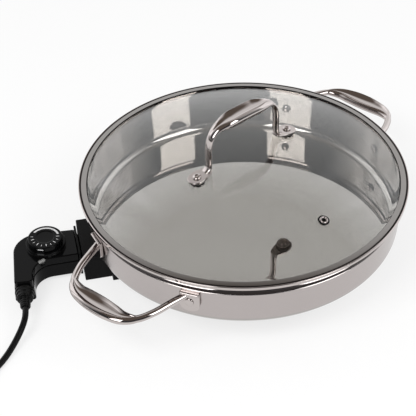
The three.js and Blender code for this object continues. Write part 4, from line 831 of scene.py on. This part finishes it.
# The lid's handle
LEG_SPAN, FOOT_SPAN, HANDLE_RISE, LID_HANDLE_TURN = 54, 72, 58, -9
LID_LEG_SIZE, LID_GRIP_SIZE, LID_GRIP_DISH = (11.5, 4.6), (25, 14), 3.2
LID_FOOT_WIDTH, LID_FOOT_THICK, LID_FOOT_REACH = 21, 3, 12
WASHER, NUT_HEIGHT = 1.2, 5.5
FOOT_LIFT = CLEARANCE + WASHER + CLEARANCE
HALF_ARCH = [(1.12, 0.02), (1.02, 0.06), (1, 0.15), (1, 0.35), (0.99, 0.58), (0.93, 0.78),
             (0.78, 0.92), (0.42, 0.985), (0, 1)]


def lid_foot(turn):
    half, (leg_width, leg_thick) = LID_FOOT_WIDTH / 2, LID_LEG_SIZE
    inward = FOOT_SPAN - LEG_SPAN + leg_thick / 2
    outline = [(-inward, -leg_width / 2), (-half * 0.6, -half)]
    outline += arc(LID_FOOT_REACH - half, 0, half, -90, 90, 16)
    outline += [(-half * 0.6, half), (-inward, leg_width / 2)]
    foot = prism("foot", rounded(outline, 3, 4, closed=True), FOOT_LIFT,
                 FOOT_LIFT + LID_FOOT_THICK, steel_bright)
    return on_dome(bevelled(foot, 0.8), FOOT_SPAN, turn)


def make_lid_handle():
    lift = FOOT_LIFT + LID_FOOT_THICK / 2
    half = [[LEG_SPAN * out, 0, dome_z(LEG_SPAN) + lift + HANDLE_RISE * rise]
            for out, rise in HALF_ARCH]
    half[0][2] = dome_z(half[0][0]) + lift
    points = catmull(half + [(-x, y, z) for x, y, z in reversed(half[:-1])], 170)
    flare, full = LEG_SPAN * 0.98, LEG_SPAN * 0.3
    bar = swept_bar("strap", points, lambda p: smooth((flare - abs(p.x)) / (flare - full)),
                    LID_LEG_SIZE, LID_GRIP_SIZE, LID_GRIP_DISH, lambda _: Vector((0, 1, 0)))
    handle = merged("strap_handle", [bar, lid_foot(0), lid_foot(180)])
    dressed(turned_by(handle, LID_HANDLE_TURN), "lid", "polished_steel", "lid_handle")


def make_lid_screws():
    head = FOOT_LIFT + LID_FOOT_THICK + CLEARANCE
    bottom = UNDER_GLASS - NUT_HEIGHT
    washer_top, flange = CLEARANCE + WASHER, UNDER_GLASS - 1.2
    washer = rounded([(2.5, CLEARANCE), (10.2, CLEARANCE), (10.2, washer_top), (2.5, washer_top)],
                     0.3, 2, closed=True)
    screw = [(0, bottom + 2.75), (2.2, bottom + 2.75), (2.2, head), (5, head), (5.2, head + 0.2),
             (5.2, head + 0.9), (4.8, head + 1.5), (3.9, head + 2.1), (2.8, head + 2.5),
             (2.5, head + 2.6), (2.1, head + 2.5), (1.9, head + 1.3), (0, head + 1.1)]
    nut = rounded([
        (0, bottom), (4.55, bottom + 0.82), (6.5, bottom + 2.5), (6.5, flange), (9, flange),
        (9, UNDER_GLASS), (2.5, UNDER_GLASS), (2.5, bottom + 2.45), (0, bottom + 2.45)], 0.6, 3)
    for k, turn in enumerate((LID_HANDLE_TURN + 180, LID_HANDLE_TURN), 1):
        for piece, slot, node_name in (
                (lathe(f"washer_{k}", washer, silicone, 48, closed=True), "silicone", "lid_washer"),
                (lathe(f"dome_screw_{k}", screw, steel_bright), "polished_steel", "lid_screw"),
                (lathe(f"cap_nut_{k}", nut, steel_bright), "polished_steel", "lid_nut")):
            dressed(on_dome(piece, FOOT_SPAN, turn), "lid", slot, f"{node_name}_{k}")


make_lid_glass()
make_rim()
make_vent()
make_lid_handle()
make_lid_screws()

# The control, in its own frame: x runs outwards along the probe and y along the leg
CONTROL_TURN, CONTROL_START = 143, 213.5
NEAR_HALF, FAR_HALF, FRONT_CUT = 24.8, 22.8, 1
CONTROL_LOW, CONTROL_TOP, PARTING = 5, 35, 24
CONTROL_FLARE, SHELL_WALL, SHELL_ROUND = 1.6, 2.2, 1.6
LEG_END, LEG_YAW, LEG_HALF, LEG_CORNER = Vector((284.5, 60)), 4, 11, 4
ELBOW_R, FILLET_R, LEG_AXIS_Z, SOCKET_Z = 32, 26, 20, 20.4
DIAL_N, DIAL_T, DIAL_R, DIAL_LOW, DIAL_TOP = 250.5, -1, 21.3, 40.9, 48.3
TURRET_R, TURRET_TOP, INDEX_TURN, INDEX_HALF = 24.5, 40.6, 70, 4.5
SHAFT_R, PIN_R, PIN_Y, PROBE_R, PROBE_BORE_R = 3, 2.5, 12, 2.8, 3.1
LENS_HALF_X, LENS_HALF_Y, LENS_SHIFT = 5, 2.3, 8
LEG_ALONG = Vector((sin(radians(LEG_YAW)), cos(radians(LEG_YAW))))
LEG_RIGHT = Vector((LEG_ALONG.y, -LEG_ALONG.x))


def leg_point(back, out):
    return LEG_END - LEG_ALONG * back + LEG_RIGHT * out


def fillet_center():
    y = NEAR_HALF + FILLET_R
    edge = LEG_END.dot(LEG_RIGHT) - LEG_HALF - FILLET_R
    return Vector(((edge - y * LEG_RIGHT.y) / LEG_RIGHT.x, y))


def control_outline(inset):
    leg, back = LEG_HALF - inset, inset + LEG_CORNER
    corner = Vector((CONTROL_START, -FAR_HALF))
    elbow = (LEG_RIGHT * (LEG_END.dot(LEG_RIGHT) + LEG_HALF - ELBOW_R)
             + LEG_ALONG * (corner.dot(LEG_ALONG) + ELBOW_R))
    fillet = fillet_center()
    outer, inner = leg_point(back, leg - LEG_CORNER), leg_point(back, LEG_CORNER - leg)
    start, near, far = CONTROL_START + inset, NEAR_HALF - inset, inset - FAR_HALF
    return ([(start + FRONT_CUT, near), (start, near - FRONT_CUT),
             (start, far + FRONT_CUT), (start + FRONT_CUT, far)]
            + arc(elbow.x, elbow.y, ELBOW_R - inset, -90 - LEG_YAW, -LEG_YAW, 24)
            + arc(outer.x, outer.y, LEG_CORNER, -LEG_YAW, 90 - LEG_YAW, 8)
            + arc(inner.x, inner.y, LEG_CORNER, 90 - LEG_YAW, 180 - LEG_YAW, 8)
            + arc(fillet.x, fillet.y, FILLET_R + inset, -LEG_YAW, -90, 24))


QUARTER = [(sin(radians(a)), cos(radians(a))) for a in range(0, 91, 15)]


def shell(name, levels, material=None):
    """The control's outline at several heights, each with its own inset."""
    return stack(name, [(z, control_outline(inset)) for z, inset in levels], material, 35)


def cavity(low, high):
    return shell("cavity", [(low, SHELL_WALL), (high, SHELL_WALL)])


def in_leg(obj):
    return shifted(turned_by(obj, -LEG_YAW), LEG_END.x, LEG_END.y, LEG_AXIS_Z)


def at_dial(obj):
    return shifted(obj, DIAL_N, DIAL_T)


def at_socket(obj, side=0):
    """Lays a piece made round Z along the probe's line, or along a pin's at its side."""
    return shifted(along_x(obj), 0, side * PIN_Y, SOCKET_Z)


def post(radius, low, high, x=0, y=0):
    profile = [(0, low), (radius, low), (radius, high), (0, high)]
    return shifted(lathe("post", profile, sides=32), x, y)


def relief_bore():
    return in_leg(along_y(post(6.3, -6, 4)))


def on_control(obj, slot, *nodes, body="control"):
    return dressed(turned_by(obj, CONTROL_TURN), body, slot, *nodes)


def on_root(obj, slot, node_name):
    return on_control(obj, slot, node_name, body="root")


def wall_slot():
    """The opening at the shell's front for the sleeves and the probe."""
    half = 4.3
    return at_socket(prism("slot", rounded_rect(half, PIN_Y + half, half - 0.1),
                           CONTROL_START - 4, CONTROL_START + SHELL_WALL + 4))


def lens_piece(name, rings, material=None):
    """An oval made along Z, placed square on the bevel of the inside corner."""
    center = fillet_center()
    turn = asin((DIAL_N + LENS_SHIFT - center.x) / FILLET_R)
    reach = FILLET_R + SHELL_ROUND / 2
    lens = stack(name, [
        (z, rounded_rect(LENS_HALF_X - inset, LENS_HALF_Y - inset, LENS_HALF_Y - 0.01 - inset))
        for z, inset in rings], material)
    moved(lens, turn_matrix((degrees(turn), "Z"), (-45, "X")))
    return shifted(lens, center.x + reach * sin(turn), center.y - reach * cos(turn),
                   CONTROL_TOP - SHELL_ROUND / 2)


def make_upper_shell():
    low = PARTING + 0.15
    levels = [(low, 0.45), (low + 0.45, 0)]
    levels += [(CONTROL_TOP - SHELL_ROUND + SHELL_ROUND * s, SHELL_ROUND * (1 - c))
               for s, c in QUARTER]
    case = shell("upper_shell", levels, gloss_black)
    turret = at_dial(lathe("turret", [(0, PARTING + 3), (TURRET_R, PARTING + 3),
        *arc(TURRET_R - 1, TURRET_TOP - 1, 1, 0, 90, 5), (0, TURRET_TOP)], gloss_black, 96))
    block = bevelled(box("index_block", (DIAL_R + 0.6, TURRET_R), INDEX_HALF,
                         (CONTROL_TOP - 2, DIAL_TOP - 1.4), gloss_black), 0.5)
    united(case, turret, at_dial(turned_by(block, INDEX_TURN)))
    cut(case, cavity(PARTING - 4, CONTROL_TOP - SHELL_WALL),
        post(SHAFT_R + 0.3, PARTING, TURRET_TOP + 4, DIAL_N, DIAL_T), wall_slot(), relief_bore(),
        lens_piece("lens_hole", [(-8, -0.25), (6, -0.25)]))
    on_control(case, "control_plastic", "control_upper_shell")
    mark = bevelled(box("index_mark", (TURRET_R - 1.9, TURRET_R - 0.75), INDEX_HALF - 1.1,
                        (DIAL_TOP - 1.42, DIAL_TOP - 1.36), white_paint), 0.02, 2)
    on_control(at_dial(turned_by(mark, INDEX_TURN)), "lens_plastic")


def cross_cut(screw, low, reach, half, depth, turns):
    """The screw with a cross recess in the head at its low end."""
    return cut(screw, *(turned_by(box("bit", (-reach, reach), half, (low - 2, low + depth)), a)
                        for a in turns))


def make_lower_shell():
    seam = PARTING - 0.15
    levels = [(CONTROL_LOW + SHELL_ROUND - SHELL_ROUND * c,
               SHELL_ROUND - SHELL_ROUND * s - CONTROL_FLARE) for s, c in QUARTER]
    levels += [(seam - SHELL_ROUND, -CONTROL_FLARE / 2), (seam - 0.5, -CONTROL_FLARE / 2 + 0.1),
               (seam, SHELL_ROUND / 2 - CONTROL_FLARE / 2)]
    case = shell("lower_shell", levels, gloss_black)
    front = box("front", (CONTROL_START - 9, CONTROL_START), 60, (-10, 60))
    end = in_leg(box("end", (-60, 60), 15, (-50, 50), y=15))
    inset = SHELL_WALL + 3.4 * 0.8
    places = [Vector((CONTROL_START + 2 * inset, inset - FAR_HALF)),
              Vector((DIAL_N + TURRET_R / 2, inset - FAR_HALF)), leg_point(3 * inset, 0)]
    below, seat = CONTROL_LOW - 4, CONTROL_LOW + SHELL_WALL / 2
    cut(case, front, end, cavity(CONTROL_LOW + SHELL_WALL, PARTING + 4), wall_slot(), relief_bore(),
        *(post(radius, below, high, *p) for radius, high in ((3.3, seat), (1.8, PARTING))
          for p in places))
    on_control(case, "control_plastic", "control_lower_shell")
    low = CONTROL_LOW - 0.3 + SHELL_WALL / 2 - 1.8
    for k, p in enumerate(places, 1):
        screw = lathe(f"case_screw_{k}", [
            (0, low + 0.2), (2.3, low), (2.8, low + 0.2), (3, low + 0.6), (3, low + 1.8),
            (1.5, low + 1.8), (1.5, 26.6), (0, 26.6)], steel_satin, 32)
        on_control(shifted(cross_cut(screw, low, 1.7, 0.35, 1.1, (45, 135)), *p), "satin_steel",
                   f"shell_screw_{k}")


def make_nose():
    low, high = CONTROL_LOW - 2, CONTROL_TOP + 2
    start, end = 210.5, 213.2
    bore = (179, 218)
    flange = bevelled(along_x(prism("nose_flange", rounded_rect((high - low) / 2, 29, 4, 8),
                                    start, end, guard_black)), 0.6)
    plug_in = bevelled(along_x(prism("plug_in", rounded_rect(9.2, 19.7, 2),
                                     183.3, start + 1.5, guard_black)), 0.5)
    united(shifted(flange, 0, 0, (low + high) / 2), shifted(plug_in, 0, 0, SOCKET_Z))
    cut(flange, *(at_socket(post(4.3, *bore), side) for side in SIDES),
        at_socket(post(PROBE_BORE_R, *bore)))
    on_control(flange, "guard_plastic", "control_nose")
    sleeve = rounded([(2.8, 183.9), (4, 183.9), (4, 215.9), (2.8, 215.9)], 0.3, 2, closed=True)
    for k, side in enumerate(SIDES, 1):
        piece = lathe(f"sleeve_{k}", sleeve, brass, closed=True)
        on_control(at_socket(piece, side), "contact_brass", f"contact_sleeve_{k}")
    probe = lathe("probe", [(0, 79.2), (1.1, 79.35), (2, 79.9), (2.6, 80.9), (PROBE_R, 82.2),
                            (PROBE_R, 222.3), (0, 222.3)], steel_bright)
    on_control(at_socket(probe), "polished_steel", "probe_rod")


def make_lens():
    rings = [(-3.4, 0.1), (0.1, 0), (0.35, 0.18), (0.55, 0.6), (0.66, 1.1), (0.7, 1.7)]
    on_control(lens_piece("lamp_lens", rings, lens_white), "lens_plastic", "indicator_lens")


def ribs(low, high, from_r, to_r, count, depth=1.1):
    pitch = (high - low) / count
    profile = []
    for k in range(count):
        wide = from_r + (to_r - from_r) * (k + 0.5) / count
        start = low + pitch * k
        profile += [(wide, start + pitch * 0.1), (wide, start + pitch * 0.6),
                    (wide - depth, start + pitch * 0.7), (wide - depth, start + pitch)]
    return profile


def make_relief():
    profile = [(0, -4.4), (6, -4.4), (6, 0.3), *ribs(0.3, 15, 12.4, 9.6, 3),
               *ribs(15, 27.9, 6.8, 6.15, 4, 0.9), (5.05, 29), (0, 29)]
    sleeve = lathe("cord_sleeve", rounded(profile, 0.55, 4), cord_black, 64)
    return on_control(in_leg(along_y(sleeve)), "cord_vinyl", "strain_relief")


ARC_TURN, ARC_RADII, TICK_TURN, TICK_STEP, TICKS = -108, (17.5, 15.1), 79, 20.5, 10
BOLD_TICK, FINE_TICK, TICK_END = (0.42, 13.6), (0.3, 14.8), 17.6


def make_dial():
    knob = at_dial(lathe("dial_knob", [
        (0, DIAL_LOW), (DIAL_R - 0.6, DIAL_LOW), (DIAL_R, DIAL_LOW + 0.6), (DIAL_R, DIAL_LOW + 4.4),
        *arc(DIAL_R - 1.4, DIAL_TOP - 1.4, 1.4, 0, 90, 8), (12.2, DIAL_TOP),
        (11.6, DIAL_TOP - 0.12), (11, DIAL_TOP - 0.45), (10.2, DIAL_TOP - 0.6),
        (0, DIAL_TOP - 0.6)], dial_black, 128))
    cut(knob, post(SHAFT_R + 0.3, DIAL_LOW - 4, DIAL_LOW + 4, DIAL_N, DIAL_T))
    # A thin white arc over the far side of the top, then the ticks.
    low, high = DIAL_TOP - 0.02, DIAL_TOP + 0.03
    outer = arc(0, 0, ARC_RADII[0], ARC_TURN - 67, ARC_TURN + 67, 48)
    inner = arc(0, 0, ARC_RADII[1], ARC_TURN + 64, ARC_TURN - 64, 48)
    marks = [prism("white_arc", outer + inner, low, high, white_paint)]
    for k in range(TICKS):
        half, near = BOLD_TICK if k % 2 else FINE_TICK
        tick = box("tick", (near, TICK_END), half, (low, high), white_paint)
        marks.append(turned_by(tick, TICK_TURN + (k - (TICKS - 1) / 2) * TICK_STEP))
    on_control(merged("dial_knob", [knob, at_dial(merged("scale", marks))]), "control_plastic",
               "temperature_dial", body="dial")


make_upper_shell()
make_lower_shell()
make_nose()
make_lens()
relief = make_relief()
make_dial()

# The socket guard and the base, in the control's frame
GUARD_FACE, GUARD_BACK, TAIL_BACK = 209, 160, 138
GUARD_HALF, GUARD_TOP, TAIL_HALF, TAIL_TOP = 37, 37.5, 45, 24.4
TAIL_SCREW_X, TAIL_SCREW_Y = 143, 26
GUARD_GAP, PIN_BORE = 0.5, (166, 187)
SOCKET_HALF, SOCKET_HALF_Z = 20, 9.5
BASE_FEET = [(122 * cos(radians(turn)), 122 * sin(radians(turn))) for turn in (95, 180, 265)]
TAIL_SCREWS = [(TAIL_SCREW_X, side * TAIL_SCREW_Y) for side in SIDES]
SCREW_BORE_R, SCREW_LOW, SCREW_TOP = 2.3, 2.3, 27.7


def make_guard():
    front = box("guard", (GUARD_BACK, GUARD_FACE), GUARD_HALF, (0, GUARD_TOP), guard_black)
    tail = box("tail", (TAIL_BACK, GUARD_BACK + 16), TAIL_HALF, (0, TAIL_TOP), guard_black)
    united(bevelled(front, 0.9, 4), bevelled(tail, 0.9, 4))
    pan_space = lathe("pan_space", [
        (0, PAN_BASE - GUARD_GAP), (BASE_R - CORNER, PAN_BASE - GUARD_GAP),
        *arc(BASE_R - CORNER, PAN_BASE + CORNER, CORNER + GUARD_GAP, -90, 0, 16),
        (MOUTH_R + GUARD_GAP, LIP_ROOT), (0, LIP_ROOT)], sides=PAN_SIDES)
    socket = bevelled(box("socket", (183, GUARD_FACE + 4), SOCKET_HALF,
                          (SOCKET_Z - SOCKET_HALF_Z, SOCKET_Z + SOCKET_HALF_Z)), 1.2)
    channel = box("channel", (TAIL_BACK - 4, 170), SOCKET_HALF, (8, 40))
    cut(front, pan_space, socket, channel,
        *(at_socket(post(PIN_R + 0.3, *PIN_BORE), side) for side in SIDES),
        at_socket(post(PROBE_BORE_R, *PIN_BORE)),
        *(post(SCREW_BORE_R, -4, 30, *p) for p in TAIL_SCREWS),
        *(post(5, -4, 5, *p) for p in TAIL_SCREWS))
    on_root(front, "guard_plastic", "socket_guard")
    for k, side in enumerate(SIDES, 1):
        pin = lathe(f"pin_{k}", [(0, 169.7), (PIN_R, 169.7), (PIN_R, 200.6), (2.3, 201.7),
                                 (1.75, 202.6), (0.9, 203), (0, 203)], steel_bright)
        on_root(at_socket(pin, side), "polished_steel", f"terminal_pin_{k}")


def base_screw(name, place, node_name):
    low, top = SCREW_LOW, SCREW_TOP
    screw = lathe(name, [(0, low), (3.2, low), (3.8, low + 0.2), (4, low + 0.6), (4, low + 2.4),
                         (2, low + 2.4), (2, top), (0, top)], steel_satin)
    cross_cut(screw, low, 2.4, 0.45, 1.4, (0, 90))
    on_root(shifted(screw, *place), "satin_steel", node_name)


def make_base():
    for k, place in enumerate(BASE_FEET, 1):
        foot = lathe(f"foot_{k}", rounded([
            (5, 0), (9, 0), (10, 1), (13, 15), (2.3, 15), (2.3, 5), (5, 5)], 0.8, 3, closed=True),
            guard_black, 48, closed=True)
        on_root(shifted(foot, *place), "guard_plastic", f"base_foot_{k}")
        base_screw(f"foot_screw_{k}", place, f"base_screw_{k}")
    for k, place in enumerate(TAIL_SCREWS, 1):
        base_screw(f"tail_screw_{k}", place, f"guard_screw_{k}")
    cover = lathe("bottom_cover", rounded([
        (0, 15.3), (150, 15.3), (160, 25.3), (160, 30.7), (159.2, 30.7), (159.2, 26.1),
        (149.2, 16.1), (0, 16.1)], 1.2, 4), steel_satin, 160)
    notch = box("notch", (TAIL_BACK - 0.3, 164), TAIL_HALF + 0.3, (-4, 35))
    cut(cover, notch, *(post(SCREW_BORE_R, 11, 17, *place) for place in BASE_FEET))
    on_root(cover, "satin_steel", "base_cover")


make_guard()
make_base()


# The cord's tie and plug
def make_tie():
    low, high = winding_point(-0.5), winding_point(0.5)
    middle = (low + high) / 2
    radius = CORD_DIAMETER / 2
    half_w = radius + (low - high).to_2d().length / 2 + 0.9
    half_h = (high.z - low.z) / 2 + radius + 0.3
    strap = bevelled(prism("strap", rounded_rect(half_w + 1, half_h + 1, radius + 1, 10),
                           -3, 3, silicone), 0.3, 2)
    cut(strap, prism("inside", rounded_rect(half_w, half_h, radius, 10), -6, 6))
    head = box("head", (half_w - 0.2, half_w + 1.9), 2.2, (-3.6, 3.6), silicone)
    united(strap, bevelled(head, 0.5, 2))
    radial = middle - coil_center
    turned_by(turned_by(strap, 90, "X"), degrees(atan2(radial.y, radial.x)))
    return dressed(shifted(strap, *middle), "control", "silicone", "cord_tie")


BLADE_Y, BLADE_HALF, BLADE_HALF_Z, PLUG_SIDES = 6.35, 0.75, 3.2, 48
# Half width, half height and squareness of the plug at each station along it.
PLUG_NECK = [(0.3, 5, 5, 2), (0.8, 5.5, 5.5, 2), (4.8, 5.6, 5.6, 2), (7.2, 6.6, 6, 2.2),
             (9.6, 9.4, 6.8, 2.8), (12.2, 11.7, 7.3, 3.6), (14.6, 12.4, 7.45, 4.2)]
PLUG_GROOVE = [(0, 12.45, 7.45), (0.5, 11.9, 7.2), (1.4, 11.9, 7.2), (1.9, 12.45, 7.45)]
PLUG_FACE = [(35.5, 12.5, 7.5, 5), (38.2, 12.5, 7.5, 5.4), (39, 12.2, 7.2, 5.4),
             (39.3, 11.6, 6.6, 5.4)]


def plug_ring(x, half_y, half_z, power):
    ring = []
    for k in range(PLUG_SIDES):
        a = TAU * (k + 0.5) / PLUG_SIDES
        c, s = cos(a), sin(a)
        ring.append((x, half_y * copysign(abs(c) ** (2 / power), c),
                     half_z * copysign(abs(s) ** (2 / power), s)))
    return ring


def placed_plug(obj):
    heading = degrees(atan2(plug_out.y, plug_out.x))
    return shifted(turned_by(obj, heading), *plug_end)


def make_plug():
    grooves = [(16.6 + 3.4 * k + x, y, z, 4.4) for k in range(5) for x, y, z in PLUG_GROOVE]
    rings = [plug_ring(*station) for station in PLUG_NECK + grooves + PLUG_FACE]
    plug = placed_plug(skin("plug_body", rings, cord_black, 50))
    pieces = [dressed(plug, "control", "cord_vinyl", "mains_plug")]
    for k, side in enumerate(SIDES, 1):
        y = side * BLADE_Y
        blade = box(f"blade_{k}", (35.3, 56.3), BLADE_HALF, (-BLADE_HALF_Z, BLADE_HALF_Z), brass, y)
        bevelled(blade, 0.4)
        cut(blade, shifted(turned_by(post(1.6, -3, 3), 90, "X"), 51.5, y))
        pieces.append(dressed(placed_plug(blade), "control", "contact_brass", f"plug_blade_{k}"))
    return pieces


on_cord = [relief, *make_plug(), make_tie()]

# Finishes of the CAD nodes that are kept
for name, finish in {
        "heat_plate": aluminium, "heating_element": steel_satin, "probe_well": steel_satin,
        "thermostat_bracket": steel_satin, "thermostat_insulator": ceramic,
        "bimetal_leaf": steel_satin, "contact_leaf": brass, "indicator_lamp": lens_white,
        "conductor_1": cord_black, "conductor_2": cord_black, "dial_shaft": steel_satin}.items():
    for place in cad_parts[name].material_slots:
        place.material = finish
